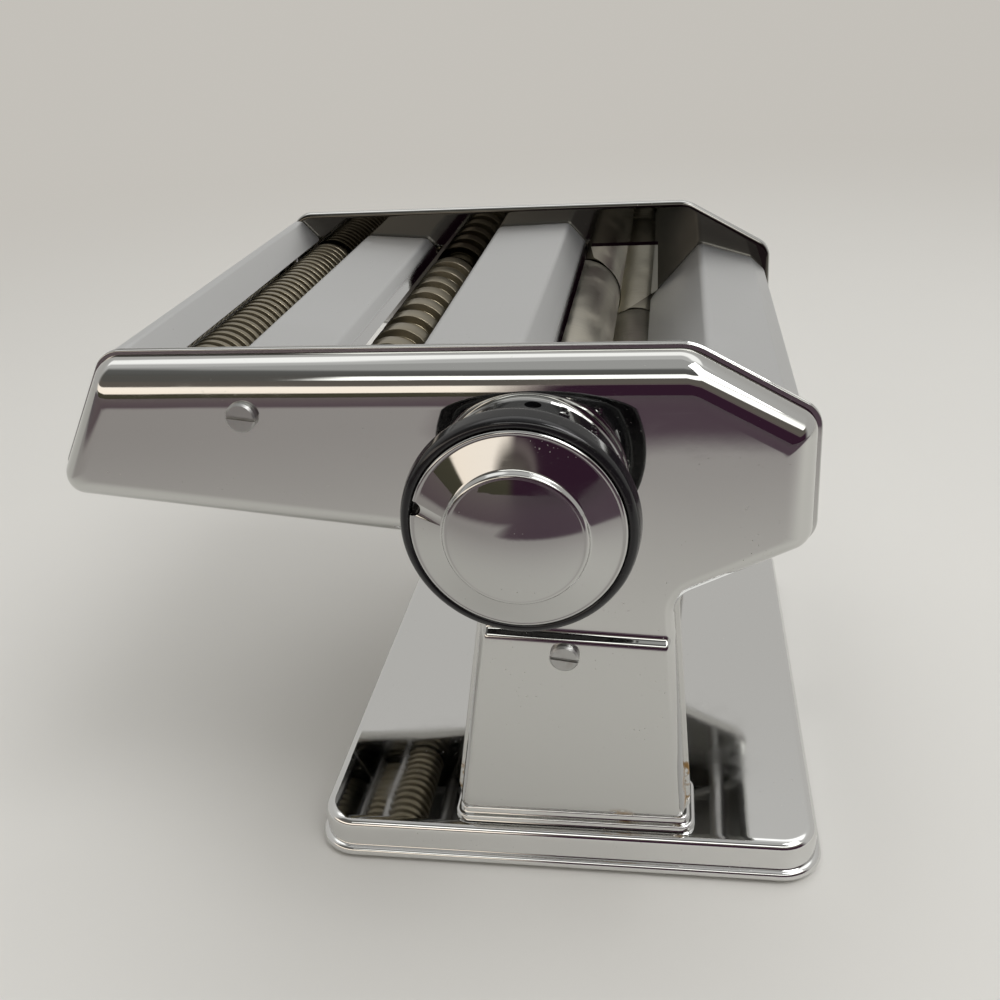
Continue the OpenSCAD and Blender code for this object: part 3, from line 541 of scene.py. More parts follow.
def cover(side, holes):
    """Stamped cover: a lipped rim, a shoulder of quarter ellipses (inset 1 - cos a, height sin a), flat faces.

    The wall has two skins a sheet apart. Each face is cut at the ledge: the leg's part, a strip, the upper
    part.
    """
    shape = Shape()
    corners = side_corners(FOOT_Z)
    m = len(LEDGE)
    rims = []
    for d in (0.0, SHEET):
        if d:
            rings = [cover_ring(inset(corners, 0, d + STEP_IN), PLATE_OUT, 0, d)]
        else:
            rings = [cover_ring(inset(corners, 0, r), PLATE_OUT + y, 0, d) for r, y in LIP]
        rings += [cover_ring(inset(corners, 1 - math.cos(a), d + STEP_IN * math.cos(a)), RIM_Y + STEP_OUT,
                             math.sin(a), d + STEP_OUT)
                  for a in np.linspace(0, math.pi / 2, 20)]
        rings.append(cover_ring(inset(corners, 1, d + 0.4), RIM_Y, 1, d))
        shape.grid(np.array(rings))
        last = rings[-1]
        y_face = FACE_Y - d
        cuts = [hole_ring(p, r, y_face)[:, [0, 2]] for p, r in holes]
        upper = last[FOOT + m - 1:len(last) - m + 1, [0, 2]]
        points, faces = flat_fill([upper] + cuts)
        shape.add(ring3(points, y_face), faces)
        leg = np.vstack([last[-1:], last[:FOOT + 1]])[:, [0, 2]]
        points, faces = flat_fill([leg])
        shape.add(ring3(points, LEG_Y - d), faces)
        shape.grid(np.stack([last[FOOT:FOOT + m], last[-1:-m - 1:-1]], 1), closed=False)
        rims.append(rings[0])
    shape.grid(np.array(rims))
    for p, r in holes:
        shape.grid(np.array([hole_ring(p, r, FACE_Y), hole_ring(p, r, FACE_Y - SHEET)]))
    shape.points = [points * [1, side, 1] for points in shape.points]
    return shape


CRANK_AXES = [axis_of(j) for j in ("roller_drive", "wide_drive_turn", "narrow_drive_turn")]
cover(-1, [(KNOB_AXIS, KNOB_HOLE)]).piece("near_cover", "frame", COVER_CHROME, ["near_side_cover"])
cover(1, [(p, CRANK_HOLE) for p in CRANK_AXES]).piece("far_cover", "frame", COVER_CHROME, ["far_side_cover"])

# Frame plates
PLATE_T = PLATE_OUT - PLATE_IN
PLATE_ROLL = 1.7
PLATE_FOOT = span_of("far_frame_plate", 2)[0]
FLANGE_Y = span_of("far_frame_plate", 1)[0]
FLANGE_X = (-25.5, 32.2)
FLANGE_BEND = 2.0


def frame_plate(side, holes):
    """Plate with its inner edge rolled over in a quarter circle, holes for the bearings, and a bolted foot.

    The foot is a strip bent inwards from the plate: an arc of the sheet's thickness, then a flat tongue.
    """
    shape = Shape()
    corners = side_corners(PLATE_FOOT)
    roll = np.linspace(0, math.pi / 2, 8)
    rings = [(PLATE_ROLL + 0.4, PLATE_IN)]
    rings += [(PLATE_ROLL * (1 - math.sin(a)), PLATE_IN + PLATE_ROLL * (1 - math.cos(a))) for a in roll]
    rings += [(0.0, PLATE_OUT - 0.15), (0.15, PLATE_OUT), (0.6, PLATE_OUT)]
    grid = [ring3(rounded(inset(corners, 0, d)), y) for d, y in rings]
    shape.grid(np.array(grid))
    for ring, y in ((grid[0], PLATE_IN), (grid[-1], PLATE_OUT)):
        points, faces = flat_fill([ring[:, [0, 2]]] + [hole_ring(p, r, y)[:, [0, 2]] for p, r in holes])
        shape.add(ring3(points, y), faces)
    for p, r in holes:
        shape.grid(np.array([hole_ring(p, r, PLATE_IN), hole_ring(p, r, PLATE_OUT)]))
    bend = FLANGE_BEND
    turn = np.linspace(0, math.pi / 2, 7)
    y_bend, z_bend = PLATE_IN + 0.2 - bend, PLATE_FOOT + PLATE_T + bend
    outline = [(y_bend + bend, z_bend + 3)]
    outline += [(y_bend + bend * math.cos(a), z_bend - bend * math.sin(a)) for a in turn]
    outline += [(FLANGE_Y, PLATE_FOOT + PLATE_T), (FLANGE_Y, PLATE_FOOT), (PLATE_IN + 1, PLATE_FOOT),
                (PLATE_IN + 1, z_bend + 3)]
    outline = eased(outline, 0.3)
    x0, x1 = FLANGE_X
    ends = [(x0, 0.4), (x0 + 0.1, 0.1), (x0 + 0.4, 0.0), (x1 - 0.4, 0.0), (x1 - 0.1, 0.1), (x1, 0.4)]
    middle = outline.mean(0)
    tongue = []
    for x, d in ends:
        q = outline - unit(outline - middle) * d
        tongue.append(np.column_stack([np.full(len(q), x), q]))
    shape.grid(np.array(tongue))
    for cap_ring in (tongue[0], tongue[-1]):
        points, faces = flat_fill([cap_ring[:, 1:]])
        shape.add(np.column_stack([np.full(len(points), cap_ring[0, 0]), points]), faces)
    shape.points = [points * [1, side, 1] for points in shape.points]
    return shape


# Shaft radii, the wall of a bush with its play, and the far opening for the adjustable roller's neck
JOURNAL, FOLLOW_R, AXLE_R = 6.0, 4.5, 5.0
BUSH = 2.07
NECK_HOLE = 10.5
BEARINGS = [(p, JOURNAL + BUSH) for p in CRANK_AXES]
BEARINGS += [(axis_of(j), FOLLOW_R + BUSH) for j in ("wide_follow_turn", "narrow_follow_turn")]
frame_plate(-1, BEARINGS + [(KNOB_AXIS, AXLE_R + BUSH)]).piece(
    "near_plate", "frame", PLATE_CHROME, ["near_frame_plate"])
frame_plate(1, BEARINGS + [(KNOB_AXIS, NECK_HOLE)]).piece(
    "far_plate", "frame", PLATE_CHROME, ["far_frame_plate"])

# Base
BASE_X, BASE_Y = span_of("base_plate", 0)[1], span_of("base_plate", 1)[1]
BASE_FOOT = span_of("base_plate", 2)[0]
PLINTH_Z = span_of("base_plate", 2)[1]
PLINTH_H = 4.0
BASE_TOP = PLINTH_Z - PLINTH_H
BASE_R, BASE_STEPS = 12.0, 12
# Place of the clamp slot's points in a ring: after the first two corners
SLOT_AT = 2 * (BASE_STEPS + 1)
BEAD = 1.6
BASE_FILLET = 2.6
BASE_SHEET = 1.2
SLOT_HALF, SLOT_Z = 9.0, (4.3, 9.3)
PLINTH_X = (-30.5, 37.2)
PLINTH_Y = (PLATE_IN - 16, PLATE_OUT + 3.5)
PLINTH_R, PLINTH_STEPS, PLINTH_ROUND = 4.0, 10, 0.8


def base_ring(d, z):
    """Rounded rectangle inset by d at height z, with extra points where the clamp slot cuts the +X wall."""
    x, y, r = BASE_X - d, BASE_Y - d, max(BASE_R - d, 3.0)
    corners = np.array([[-x, -y, r], [x, -y, r], [x, y, r], [-x, y, r]])
    outline = rounded(corners, BASE_STEPS)
    notch = np.array([[x, -SLOT_HALF], [x, SLOT_HALF]])
    outline = np.insert(outline, SLOT_AT, notch, axis=0)
    return np.column_stack([outline, np.full(len(outline), z)])


def base():
    """Pressed pan: bead, wall with the clamp slot, filleted top with two stepped plinths, and an inner skin."""
    shape = Shape()
    bead = [base_ring(BEAD * (1 - math.cos(a)), BASE_FOOT + BEAD * (1 + math.sin(a)))
            for a in np.linspace(-math.pi / 2, math.pi / 2, 11)]
    wall = [base_ring(BEAD, z) for z in SLOT_Z]
    edge = [base_ring(BEAD + BASE_FILLET * (1 - math.cos(a)), BASE_TOP - BASE_FILLET * (1 - math.sin(a)))
            for a in np.linspace(0, math.pi / 2, 9)]
    flat = base_ring(BEAD + BASE_FILLET + 0.4, BASE_TOP)
    outer = np.array(bead + wall + edge + [flat])
    d = BEAD + BASE_SHEET
    under = BASE_TOP - BASE_SHEET
    inner = np.array([base_ring(d, z) for z in (BASE_FOOT, BASE_FOOT + BEAD, SLOT_Z[0], SLOT_Z[1], under)])
    n = outer.shape[1]
    gap = SLOT_AT
    for grid, row in ((outer, len(bead)), (inner, 2)):
        quads = band(0, n, len(grid))
        del quads[row * n + gap]
        shape.add(grid, quads)
    lips = [outer[len(bead), gap], outer[len(bead), gap + 1], outer[len(bead) + 1, gap + 1],
            outer[len(bead) + 1, gap]]
    inner_lips = [inner[2, gap], inner[2, gap + 1], inner[3, gap + 1], inner[3, gap]]
    shape.grid(np.array([lips, inner_lips]))
    shape.grid(np.array([outer[0], inner[0]]))
    points, faces = flat_fill([inner[-1][:, :2]])
    shape.add(np.column_stack([points, np.full(len(points), under)]), faces)
    feet = []
    for side in (-1, 1):
        y0, y1 = sorted(side * v for v in PLINTH_Y)
        rect = np.array([[PLINTH_X[0], y0, PLINTH_R, 0], [PLINTH_X[1], y0, PLINTH_R, 0],
                         [PLINTH_X[1], y1, PLINTH_R, 0], [PLINTH_X[0], y1, PLINTH_R, 0]])
        step = PLINTH_H / 2
        curve = np.linspace(0, math.pi / 2, 5)
        places = [(-0.4, 0.0), (0.0, 0.0), (0.1, 0.5)]
        places += [(0.1 + PLINTH_ROUND * (1 - math.cos(a)), step - PLINTH_ROUND * (1 - math.sin(a)))
                   for a in curve]
        places += [(1.4, step), (1.5, step + 0.4)]
        places += [(1.5 + PLINTH_ROUND * (1 - math.cos(a)), 2 * step - PLINTH_ROUND * (1 - math.sin(a)))
                   for a in curve]
        places += [(2.7, 2 * step)]
        count = len(rect) * (PLINTH_STEPS + 1)
        rings = [np.column_stack([rounded(inset(rect, 0, d), PLINTH_STEPS), np.full(count, BASE_TOP + z)])
                 for d, z in places]
        shape.grid(np.array(rings))
        points, faces = flat_fill([rings[-1][:, :2]])
        shape.add(np.column_stack([points, np.full(len(points), PLINTH_Z)]), faces)
        feet.append(rings[0][:, :2])
    points, faces = flat_fill([flat[:, :2]] + feet)
    shape.add(np.column_stack([points, np.full(len(points), BASE_TOP)]), faces)
    return shape


base().piece("base_pan", "frame", BASE_CHROME, ["base_plate"])


# Deck panels
def folded_sheet(path, bend, corner, turn_down, thick=1.0, ends=PLATE_IN - 0.1):
    """Folded sheet across the deck: the bent path swept along Y, corners rounded, both ends turned down.

    A point at distance e from the sheet's edge ends at corner - sqrt(corner^2 - (corner - e)^2) from the plate.
    The turned end is a quarter circle: y = end - r + r sin a, drop = r (1 - cos a), square to the sheet.
    """
    p = bent(path, bend)
    run = np.concatenate([[0], np.cumsum(np.linalg.norm(np.diff(p, axis=0), axis=1))])
    fine = np.unique(np.concatenate([run, np.linspace(0, corner, 9), run[-1] - np.linspace(0, corner, 9)]))
    p = np.column_stack([np.interp(fine, run, p[:, 0]), np.interp(fine, run, p[:, 1])])
    d = unit(np.gradient(p, axis=0))
    side = np.column_stack([-d[:, 1], d[:, 0]])
    edge = np.minimum(np.minimum(fine, fine[-1] - fine), corner)
    y_end = ends - corner + np.sqrt(np.maximum(corner ** 2 - (corner - edge) ** 2, 0))
    a = np.linspace(0, math.pi / 2, 7)
    across, fall = np.append(np.sin(a), 1), np.append(1 - np.cos(a), 1)
    tail = np.append(np.zeros(len(a)), 0.5 * turn_down)
    shape = Shape()
    skins = []
    for s in (thick / 2, -thick / 2):
        reach = y_end[:, None] - turn_down - thick / 2 + (turn_down + s) * across
        drop = np.broadcast_to((turn_down + s) * fall + tail, reach.shape)
        flat = reach[:, :1] * np.linspace(-1, 1, 13)[1:-1]
        y = np.hstack([-reach[:, ::-1], flat, reach])
        sink = np.hstack([drop[:, ::-1], np.zeros_like(flat), drop])
        q = (p + side * s)[:, None, :] - side[:, None, :] * sink[..., None]
        grid = np.stack([q[..., 0], y, q[..., 1]], -1)
        shape.grid(grid, closed=False, flip=s < 0)
        skins.append(np.concatenate([grid[0], grid[1:, -1], grid[-1, -2::-1], grid[-2:0:-1, 0]]))
    shape.grid(np.array(skins))
    return shape


END_WALL = [(-117.5, 121), (-110.4, 136.3), (-108.4, 151), (-105.6, 151), (-99.6, 144.4)]
CUTTER_BRIDGE = [(-86.3, 136.3), (-80.5, 145.3), (-59, 143.6), (-54.5, 139.2)]
ROLLER_BRIDGE = [(-39.5, 135.5), (-31.5, 147), (-7, 147.6), (0, 139.7)]
FEED_PANEL = [(22.4, 120.1), (39.2, 139.2), (56.7, 133.8), (61.2, 129.5), (61.2, 106)]
for name, path, bend, corner, turn_down in (
    ("end_wall", END_WALL, 1.2, 2.0, 0.8),
    ("cutter_bridge", CUTTER_BRIDGE, 2.0, 5.0, 1.8),
    ("roller_bridge", ROLLER_BRIDGE, 2.0, 5.0, 1.8),
    ("feed_panel", FEED_PANEL, 2.0, 3.0, 1.8),
):
    folded_sheet(path, bend, corner, turn_down).piece(name + "_sheet", "frame", DECK_CHROME, [name])

# Rollers and cutters
ROLLER_R = 13.0
NECK = (7.3, 8.5)
HOLLOW_R = 9.1
NECK_END = span_of("adjustable_roller", 1)[1]
revolve("adjustable_roller_body", axis_of("roller_follow"), [
    (HOLLOW_R, -ROLLER_END), (ROLLER_R, -ROLLER_END), (ROLLER_R, ROLLER_END), (NECK[1], ROLLER_END),
    (NECK[1], NECK_END), (NECK[0], NECK_END), (NECK[0], ROLLER_END - 0.7), (HOLLOW_R, ROLLER_END - 0.7),
], "adjustable_roller", ROLLER_NICKEL, ["adjustable_roller"], "satin_nickel", n=160, ease=0.6)
SOCKET, SOCKET_L = 4.0, 12.0
NEAR_END, SHAFT_END = span_of("driven_roller", 1)
revolve("driven_roller_body", axis_of("roller_drive"), [
    (0, NEAR_END), (JOURNAL, NEAR_END), (JOURNAL, -ROLLER_END), (ROLLER_R, -ROLLER_END), (ROLLER_R, ROLLER_END),
    (JOURNAL, ROLLER_END), (JOURNAL, SHAFT_END), (SOCKET, SHAFT_END), (SOCKET, SHAFT_END - SOCKET_L),
    (0, SHAFT_END - SOCKET_L),
], "driven_roller", ROLLER_NICKEL, ["driven_roller"], "satin_nickel", n=160, ease=0.5)


DISC_GAP = 0.1


def cutter(name, joint, body, strip, odd, r, core, ends, node):
    """Cutter roller: every second strip of the width is a disc on the core; ends close the profile."""
    count = int(2 * ROLLER_END // strip)
    i = np.arange(odd, count, 2)
    low = (i - count / 2) * strip + DISC_GAP
    high = low + strip - 2 * DISC_GAP
    discs = np.stack([
        np.column_stack([np.full(len(i), core), low]), np.column_stack([np.full(len(i), r), low]),
        np.column_stack([np.full(len(i), r), high]), np.column_stack([np.full(len(i), core), high]),
    ], 1).reshape(-1, 2)
    profile = np.vstack([ends[0], discs, ends[1]])
    revolve(name, axis_of(joint), profile, body, CUTTER_NICKEL, [node], "satin_nickel", n=72, ease=0.18)


# Strip width, disc radius and core radius
CUTTERS = {"wide": (6.5, 9.5, 7.2), "narrow": (2.0, 9.0, 7.3)}
for kind, (strip, disc_r, core_r) in CUTTERS.items():
    y0, y1 = span_of(kind + "_follow_cutter", 1)
    cutter(kind + "_drive_discs", kind + "_drive_turn", kind + "_drive", strip, 0, disc_r, core_r,
           ([(JOURNAL, -ROLLER_END), (core_r, -ROLLER_END)], [(core_r, ROLLER_END), (JOURNAL, ROLLER_END)]),
           kind + "_drive_cutter")
    cutter(kind + "_follow_discs", kind + "_follow_turn", kind + "_follow", strip, 1, disc_r, core_r,
           ([(0, y0), (FOLLOW_R, y0), (FOLLOW_R, -ROLLER_END), (core_r, -ROLLER_END)],
            [(core_r, ROLLER_END), (FOLLOW_R, ROLLER_END), (FOLLOW_R, y1), (0, y1)]),
           kind + "_follow_cutter")

# Knob: profiles are radius, distance outwards from the knob's back
DRUM_R, CAP_R, RIM_R = 22.4, 23.6, 26.4
RING_L, SEAT, FRONT = 3.4, 20.8, 23.0
RIM_S = FRONT - 6.0
STEP_R, DOME_R = 15.9, 14.6
CONE_H, DOME_H = 3.2, 2.2
DOME_S = FRONT + CONE_H + 1.3
DRUM_IN = DRUM_R - 3.6
FLOOR_S = (4.4, 7.4)
HUB_R = 5.0


def knob_profile(points):
    """Knob profile turned towards -Y."""
    return [(r, -KNOB_BACK - s) for r, s in points]


# Window: a round recess in the drum, its rows spaced as the columns round the drum are
DRUM_POINTS = 444
WINDOW_STEP = 2 * math.pi * DRUM_R / DRUM_POINTS
WINDOW_AT, WINDOW_S = math.radians(84), 5.7
WINDOW_CELLS, WINDOW_REACH = 6, 7
WINDOW_DEPTH = 2.2


def drum():
    """Black drum with a flared, rounded front rim and a round window recess near its back.

    Round the window the grid's squares are pulled to circles: a square ring at distance q from the window's
    centre becomes a circle of radius q, fading back to a square outside the window.
    """
    window_rows = [(DRUM_R, WINDOW_S + k * WINDOW_STEP) for k in range(-WINDOW_REACH, WINDOW_REACH + 1)]
    front = eased([
        (DRUM_R, 9.0), (DRUM_R, RIM_S - 1.4), (DRUM_R + 0.5, RIM_S - 0.4), (DRUM_R + 1.5, RIM_S),
        (RIM_R - 0.9, RIM_S), (RIM_R - 0.1, RIM_S + 0.5), (RIM_R, RIM_S + 1.4), (RIM_R - 0.4, FRONT - 1.4),
        (RIM_R - 0.8, FRONT - 0.5), (RIM_R - 1.6, FRONT), (CAP_R + 0.5, FRONT), (CAP_R + 0.05, FRONT - 0.4),
        (CAP_R + 0.05, SEAT), (DRUM_IN, SEAT), (DRUM_IN, FLOOR_S[1]), (HUB_R, FLOOR_S[1]),
        (HUB_R, FLOOR_S[0]), (DRUM_IN, FLOOR_S[0]), (DRUM_IN, RING_L), (DRUM_R, RING_L),
    ], 0.5, 4)
    profile = np.array(knob_profile(np.vstack([window_rows, front, window_rows[:1]])))
    grid = turned(KNOB_AXIS, profile, DRUM_POINTS)
    rows = 2 * WINDOW_REACH + 1
    a = np.linspace(0, 2 * np.pi, DRUM_POINTS, endpoint=False)
    column = np.round((a - WINDOW_AT) * DRUM_R / WINDOW_STEP)
    near = np.abs(column) <= WINDOW_REACH
    u, v = np.meshgrid(column[near], np.arange(-WINDOW_REACH, WINDOW_REACH + 1))
    q = np.maximum(np.abs(u), np.abs(v))
    turn = np.arctan2(v, u)
    inside = q < WINDOW_CELLS
    radius = np.where(inside, q * (WINDOW_CELLS - 0.08) / (WINDOW_CELLS - 1), q)
    square = np.clip((q - WINDOW_CELLS) / (WINDOW_REACH - WINDOW_CELLS), 0, 1)
    u = np.where(q > 0, (1 - square) * radius * np.cos(turn) + square * u, 0) * WINDOW_STEP
    v = np.where(q > 0, (1 - square) * radius * np.sin(turn) + square * v, 0) * WINDOW_STEP
    r = DRUM_R - WINDOW_DEPTH * inside
    at = WINDOW_AT + u / DRUM_R
    grid[:rows, near] = np.stack([
        KNOB_AXIS[0] + r * np.cos(at), -KNOB_BACK - WINDOW_S - v, KNOB_AXIS[1] + r * np.sin(at)], -1)
    shape = Shape()
    shape.grid(grid)
    return shape


drum().piece("knob_drum_moulding", "knob", KNOB_BLACK, ["knob_drum"], "black_plastic", angle=40)
revolve("knob_back_ring", KNOB_AXIS, knob_profile([
    (DRUM_R - 4.6, 0), (DRUM_R + 0.4, 0), (DRUM_R + 0.4, RING_L), (DRUM_R - 4.6, RING_L),
]), "knob", KNOB_CHROME, ["knob_ring"], "chrome", n=192, ease=0.9)
NOTCH_AT, NOTCH_R, NOTCH_IN = math.radians(166), 1.7, 0.6
CAP = [
    (0, SEAT), (CAP_R, SEAT), (CAP_R, FRONT + 0.1), (CAP_R - 0.5, FRONT + 0.55), (CAP_R - 1.1, FRONT + 0.45),
    (STEP_R + 0.3, FRONT + CONE_H), (STEP_R, FRONT + CONE_H + 0.2), (STEP_R - 0.4, DOME_S - 0.25),
    (STEP_R - 0.9, DOME_S), (DOME_R, DOME_S),
]
CAP += [(DOME_R * f, DOME_S + DOME_H * (1 - f * f)) for f in np.linspace(0.9, 0, 10)]


def cap():
    """Chromed cap: a bright rolled edge, a cone, a rounded step and a dome, with a round notch in the edge.

    The notch pulls every point outside a circle's near side back to that side.
    """
    profile = eased(np.array(knob_profile(CAP)), 0.6, 5)
    wide = np.linspace(0, 2 * np.pi, 224, endpoint=False)
    fine = NOTCH_AT + np.linspace(-0.09, 0.09, 61)
    a = np.sort(np.concatenate([wide[np.abs(wide - NOTCH_AT) > 0.095], fine]))
    centre = CAP_R - NOTCH_IN
    off = (a - NOTCH_AT) * centre
    cut = np.where(np.abs(off) < NOTCH_R, centre - np.sqrt(np.maximum(NOTCH_R ** 2 - off ** 2, 0)), CAP_R)
    r = np.minimum(profile[:, :1], cut)
    grid = turned(KNOB_AXIS, profile, a)
    grid[..., 0] = KNOB_AXIS[0] + r * np.cos(a)
    grid[..., 2] = KNOB_AXIS[1] + r * np.sin(a)
    shape = Shape()
    shape.grid(grid)
    return shape


cap().piece("knob_cap_plate", "knob", KNOB_CHROME, ["knob_cap"], angle=40)

# Numbers of the settings, raised on the drum's side
NUMBER_H, NUMBER_RISE = 3.8, 0.35
NUMBER_AT = np.radians([105.5, 65.5, 45.5, 25.5, 5.5, -14.5, -34.5])
NUMBER_S = 7.5
# Height of the font's digits as a share of its size
DIGIT_SHARE = 0.69


def numbers():
    """Raised numbers wrapped round the drum: x becomes an angle, y the distance from the back, z the rise."""
    shape = Shape()
    for k, middle in enumerate(NUMBER_AT):
        curve = bpy.data.curves.new("number", "FONT")
        curve.body, curve.align_x = str(k + 1), "CENTER"
        curve.size, curve.extrude, curve.resolution_u = NUMBER_H / DIGIT_SHARE, NUMBER_RISE, 4
        text = bpy.data.objects.new("number", curve)
        mesh = text.to_mesh()
        xyz = np.empty(len(mesh.vertices) * 3)
        mesh.vertices.foreach_get("co", xyz)
        x, y, z = xyz.reshape(-1, 3).T
        faces = [list(f.vertices) for f in mesh.polygons]
        at = middle - x / DRUM_R
        r = DRUM_R + z
        shape.add(np.stack([KNOB_AXIS[0] + r * np.cos(at), -KNOB_BACK - NUMBER_S + y,
                            KNOB_AXIS[1] + r * np.sin(at)], -1), faces)
        text.to_mesh_clear()
        bpy.data.objects.remove(text)
        bpy.data.curves.remove(curve)
    return shape


numbers().piece("knob_numbers", "knob", KNOB_CHROME, slot="chrome", angle=25)

# Spring between the drum's floor and the axle's washer
SPRING_R, SPRING_WIRE, SPRING_TURNS = 6.4, 0.4, 4
SPRING_STEPS, WIRE_STEPS = 24, 10
SPRING_Y = span_of("knob_spring", 1)
PULL = JOINTS["knob_pull"]["range_m"][1] / MM


def spring():
    """Coil: a round wire about a helix, rows following the helix."""
    turn = np.linspace(0, 2 * np.pi * SPRING_TURNS, SPRING_STEPS * SPRING_TURNS + 1)[:, None]
    round_wire = np.linspace(0, 2 * np.pi, WIRE_STEPS, endpoint=False)
    middle = np.linspace(SPRING_Y[1] - SPRING_WIRE, SPRING_Y[0] + SPRING_WIRE, len(turn))[:, None]
    r = SPRING_R + SPRING_WIRE * np.cos(round_wire)
    grid = np.stack([KNOB_AXIS[0] + r * np.cos(turn), middle - SPRING_WIRE * np.sin(round_wire),
                     KNOB_AXIS[1] + r * np.sin(turn)], -1)
    shape = Shape()
    shape.grid(grid)
    for end in (grid[0], grid[-1]):
        shape.add(end, [list(range(len(end)))])
    return shape


coil = spring().piece("knob_spring_coil", "eccentric_axle", STEEL, ["knob_spring"], "steel")
1 - (PULL + 0.1) / (SPRING_Y[1] - SPRING_Y[0])
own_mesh(coil)

# Finishes of the CAD nodes that keep their shape
NODE_FINISH = {
    "dough_guides": GUIDE_CHROME,
    "near_cover_screws": SCREW_STEEL, "far_cover_screws": SCREW_STEEL, "rubber_feet": RUBBER,
    "roller_bushes": BRONZE, "cutter_bushes": BRONZE, "eccentric_bushes": BRONZE,
}
for name, obj in frame["nodes"].items():
    for slot in obj.material_slots:
        slot.material = NODE_FINISH.get(name, STEEL)

# Camera fitted to the photograph's edges: place in millimetres, angles in degrees
CAMERA = (29.58, -311.98, 231.37)
YAW, PITCH, ROLL = -9.99, -26.28, -3.93
LENS, SENSOR = 38.88, 36.0


def camera():
    """Camera that looks along its yaw and pitch, rolled about its own axis."""
    a, e, r = (math.radians(v) for v in (YAW, PITCH, ROLL))
    ahead = Vector((math.sin(a) * math.cos(e), math.cos(a) * math.cos(e), math.sin(e)))
    right = Vector((math.cos(a), -math.sin(a), 0))
    up = right.cross(ahead)
    right, up = right * math.cos(r) + up * math.sin(r), up * math.cos(r) - right * math.sin(r)
    data = bpy.data.cameras.new("camera")
    data.lens, data.sensor_width, data.clip_start = LENS, SENSOR, 0.01
    obj = bpy.data.objects.new("camera", data)
    turn = Matrix((right, up, -ahead)).transposed()
    obj.matrix_world = Matrix.Translation(Vector(CAMERA) * MM) @ turn.to_4x4()
    bpy.context.scene.collection.objects.link(obj)
    bpy.context.scene.camera = obj


# Room seen by the chrome in front of the knob's side: sine of the elevation, colour
FRONT_BANDS = [
    (-0.30, (0.020, 0.012, 0.018)), (-0.06, (0.030, 0.018, 0.026)), (-0.03, (0.075, 0.070, 0.048)),
    (0.13, (0.085, 0.078, 0.052)), (0.15, (1.60, 1.42, 1.22)), (0.34, (1.60, 1.45, 1.28)),
    (0.37, (0.17, 0.150, 0.130)), (0.55, (0.15, 0.135, 0.120)), (0.57, (2.4, 2.4, 2.3)),
    (0.66, (2.4, 2.4, 2.3)),
    (0.69, (0.12, 0.118, 0.110)), (0.82, (0.16, 0.16, 0.155)), (0.87, (0.50, 0.50, 0.49)),
]
BAND_LOW, BAND_HIGH = -0.4, 1.0
PALE = (0.55, 0.528, 0.488)
DUSK = (0.045, 0.018, 0.036)


def studio_world():
    """Soft room: even walls and ceiling, and towards the front a window, a lamp strip and dim stretches.

    Camera rays see one pale tone. To the front and right the window gives way to a dim, dark purple stretch.
    """
    world = bpy.data.worlds.new("studio")
    bpy.context.scene.world = world
    s = Shader(world)
    way = s.node("ShaderNodeTexCoord", out=0)
    x, y, z = (s.node("ShaderNodeSeparateXYZ", {}, {"Vector": way}, out=i) for i in range(3))
    level = (x * x + y * y) ** 0.5 + 0.001
    front = (y / level * -1).step(0.15, 0.5)
    right = (x / level).step(-0.20, -0.10)
    left = (x / level).step(-0.36, -0.44)
    stops = [((v - BAND_LOW) / (BAND_HIGH - BAND_LOW), colour) for v, colour in FRONT_BANDS]
    bands = s.node("ShaderNodeValToRGB", {"stops": stops}, {0: (z - BAND_LOW) / (BAND_HIGH - BAND_LOW)})
    dusk = right * z.step(-0.3, -0.2) * (1 - z.step(0.34, 0.40))
    bands = s.blend(dusk, bands, rgb(*DUSK))
    bands = s.blend(left * z.step(0.50, 0.55) * (1 - z.step(0.68, 0.72)), bands, rgb(0.13, 0.125, 0.115))
    room = s.blend(z.step(0.55, 0.9), rgb(0.57, 0.56, 0.54), rgb(0.70, 0.70, 0.69))
    back = y.step(0.0, 0.15) * z.step(0.74, 0.80) * (1 - z.step(0.93, 0.97))
    room = s.blend(back, room, rgb(1.5, 1.5, 1.48))
    room = s.blend(front, room, bands)
    lit = s.node("ShaderNodeBackground", {}, {"Color": room, "Strength": 1.0})
    pale = s.node("ShaderNodeBackground", {}, {"Color": rgb(*PALE), "Strength": 1.0})
    seen = s.node("ShaderNodeLightPath", out=0)
    both = s.node("ShaderNodeMixShader", {}, {0: seen, 1: lit, 2: pale})
    s.node("ShaderNodeOutputWorld", {}, {"Surface": both})


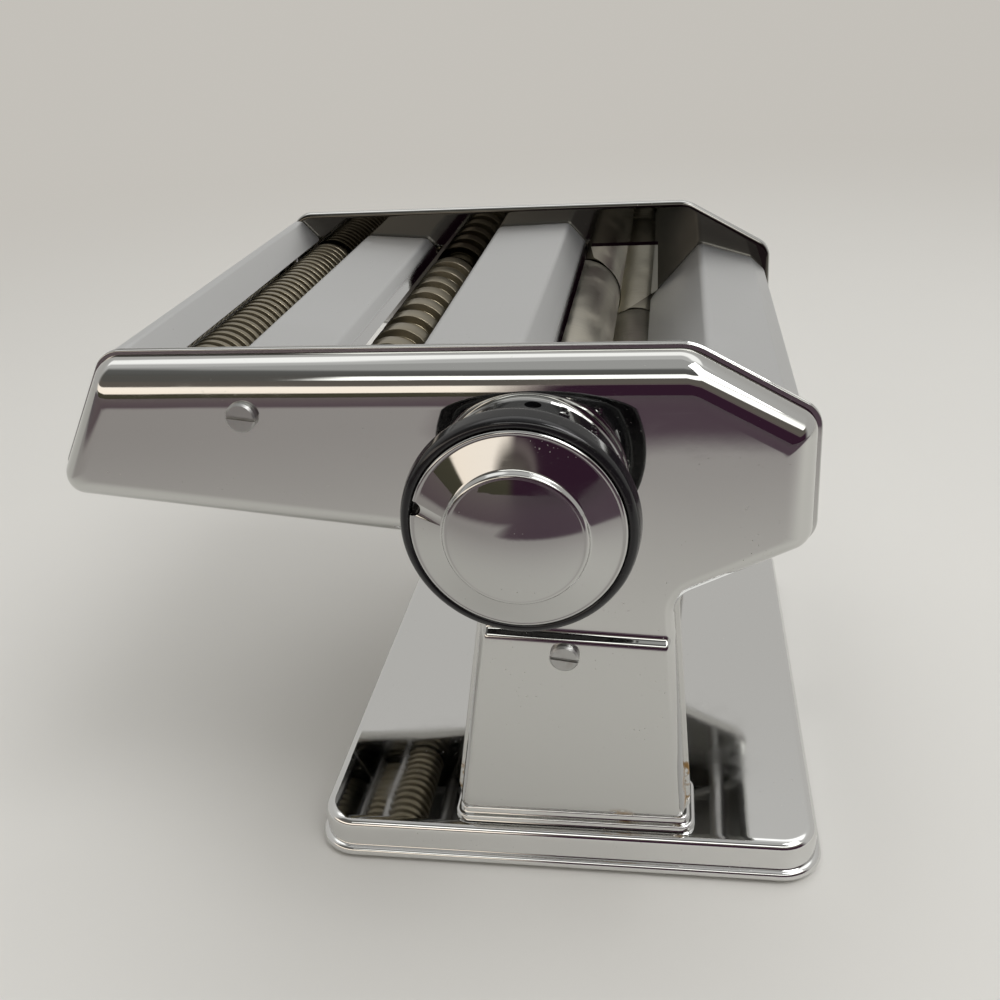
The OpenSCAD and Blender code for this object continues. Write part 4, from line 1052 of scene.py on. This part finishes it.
def lamp(name, place, aim, size, power):
    """Soft square lamp at a place, turned towards a point; metres and watts."""
    data = bpy.data.lights.new(name, "AREA")
    data.size, data.energy = size, power
    obj = bpy.data.objects.new(name, data)
    obj.location = place
    obj.rotation_euler = (Vector(aim) - Vector(place)).to_track_quat("-Z", "Y").to_euler()
    bpy.context.scene.collection.objects.link(obj)


def table():
    """Pale table top with a faint grain, which fades into the background's tone away from the object.

    In reflections only, a painted shadow darkens it towards the front, up to the table's edge, and a painted
    dark figure marks where somebody stands.
    """
    s = finish("table_top")
    x, y = s.axis(0), s.axis(1)
    mottle = s.noise(9.0, 4.0, 0.6)
    colour = s.blend(mottle * 0.4, rgb(0.74, 0.73, 0.70), rgb(0.69, 0.68, 0.655))
    mirrored = s.node("ShaderNodeLightPath", out=3)
    # Painted shadow of somebody in front of the table, and their painted dark reflection, seen only by
    # reflected rays
    shade = (y * -1).step(0.14, 0.42) * 0.46 + (y * -1).step(0.46, 0.60) * 0.50
    painted_figure = (y * -1).step(0.35, 0.41) * x.step(-0.16, -0.06)
    shade = shade.math("MAXIMUM", painted_figure * 0.96)
    colour = s.blend(mirrored * shade, colour, rgb(0.050, 0.012, 0.040))
    near = s.node("ShaderNodeBsdfPrincipled", {}, {"Base Color": colour, "Roughness": 0.55})
    away = s.node("ShaderNodeEmission", {}, {"Color": rgb(*PALE), "Strength": 1.0})
    seen = s.node("ShaderNodeLightPath", out=0)
    fade = ((x * x + y * y) ** 0.5).step(0.35, 1.3) * seen
    both = s.node("ShaderNodeMixShader", {}, {0: fade, 1: near, 2: away})
    s.node("ShaderNodeOutputMaterial", {}, {"Surface": both})
    reach = 40.0
    mesh = bpy.data.meshes.new("table")
    mesh.from_pydata([(-reach, -reach, 0), (reach, -reach, 0), (reach, reach, 0), (-reach, reach, 0)], [],
                     [(0, 1, 2, 3)])
    mesh.materials.append(s.owner)
    obj = bpy.data.objects.new("table", mesh)
    bpy.context.scene.collection.objects.link(obj)


camera()
studio_world()
table()
lamp("key", place=(0.75, -0.5, 1.4), aim=(-0.02, 0, 0.05), size=0.7, power=9)
bpy.context.scene.view_settings.view_transform = "Standard"
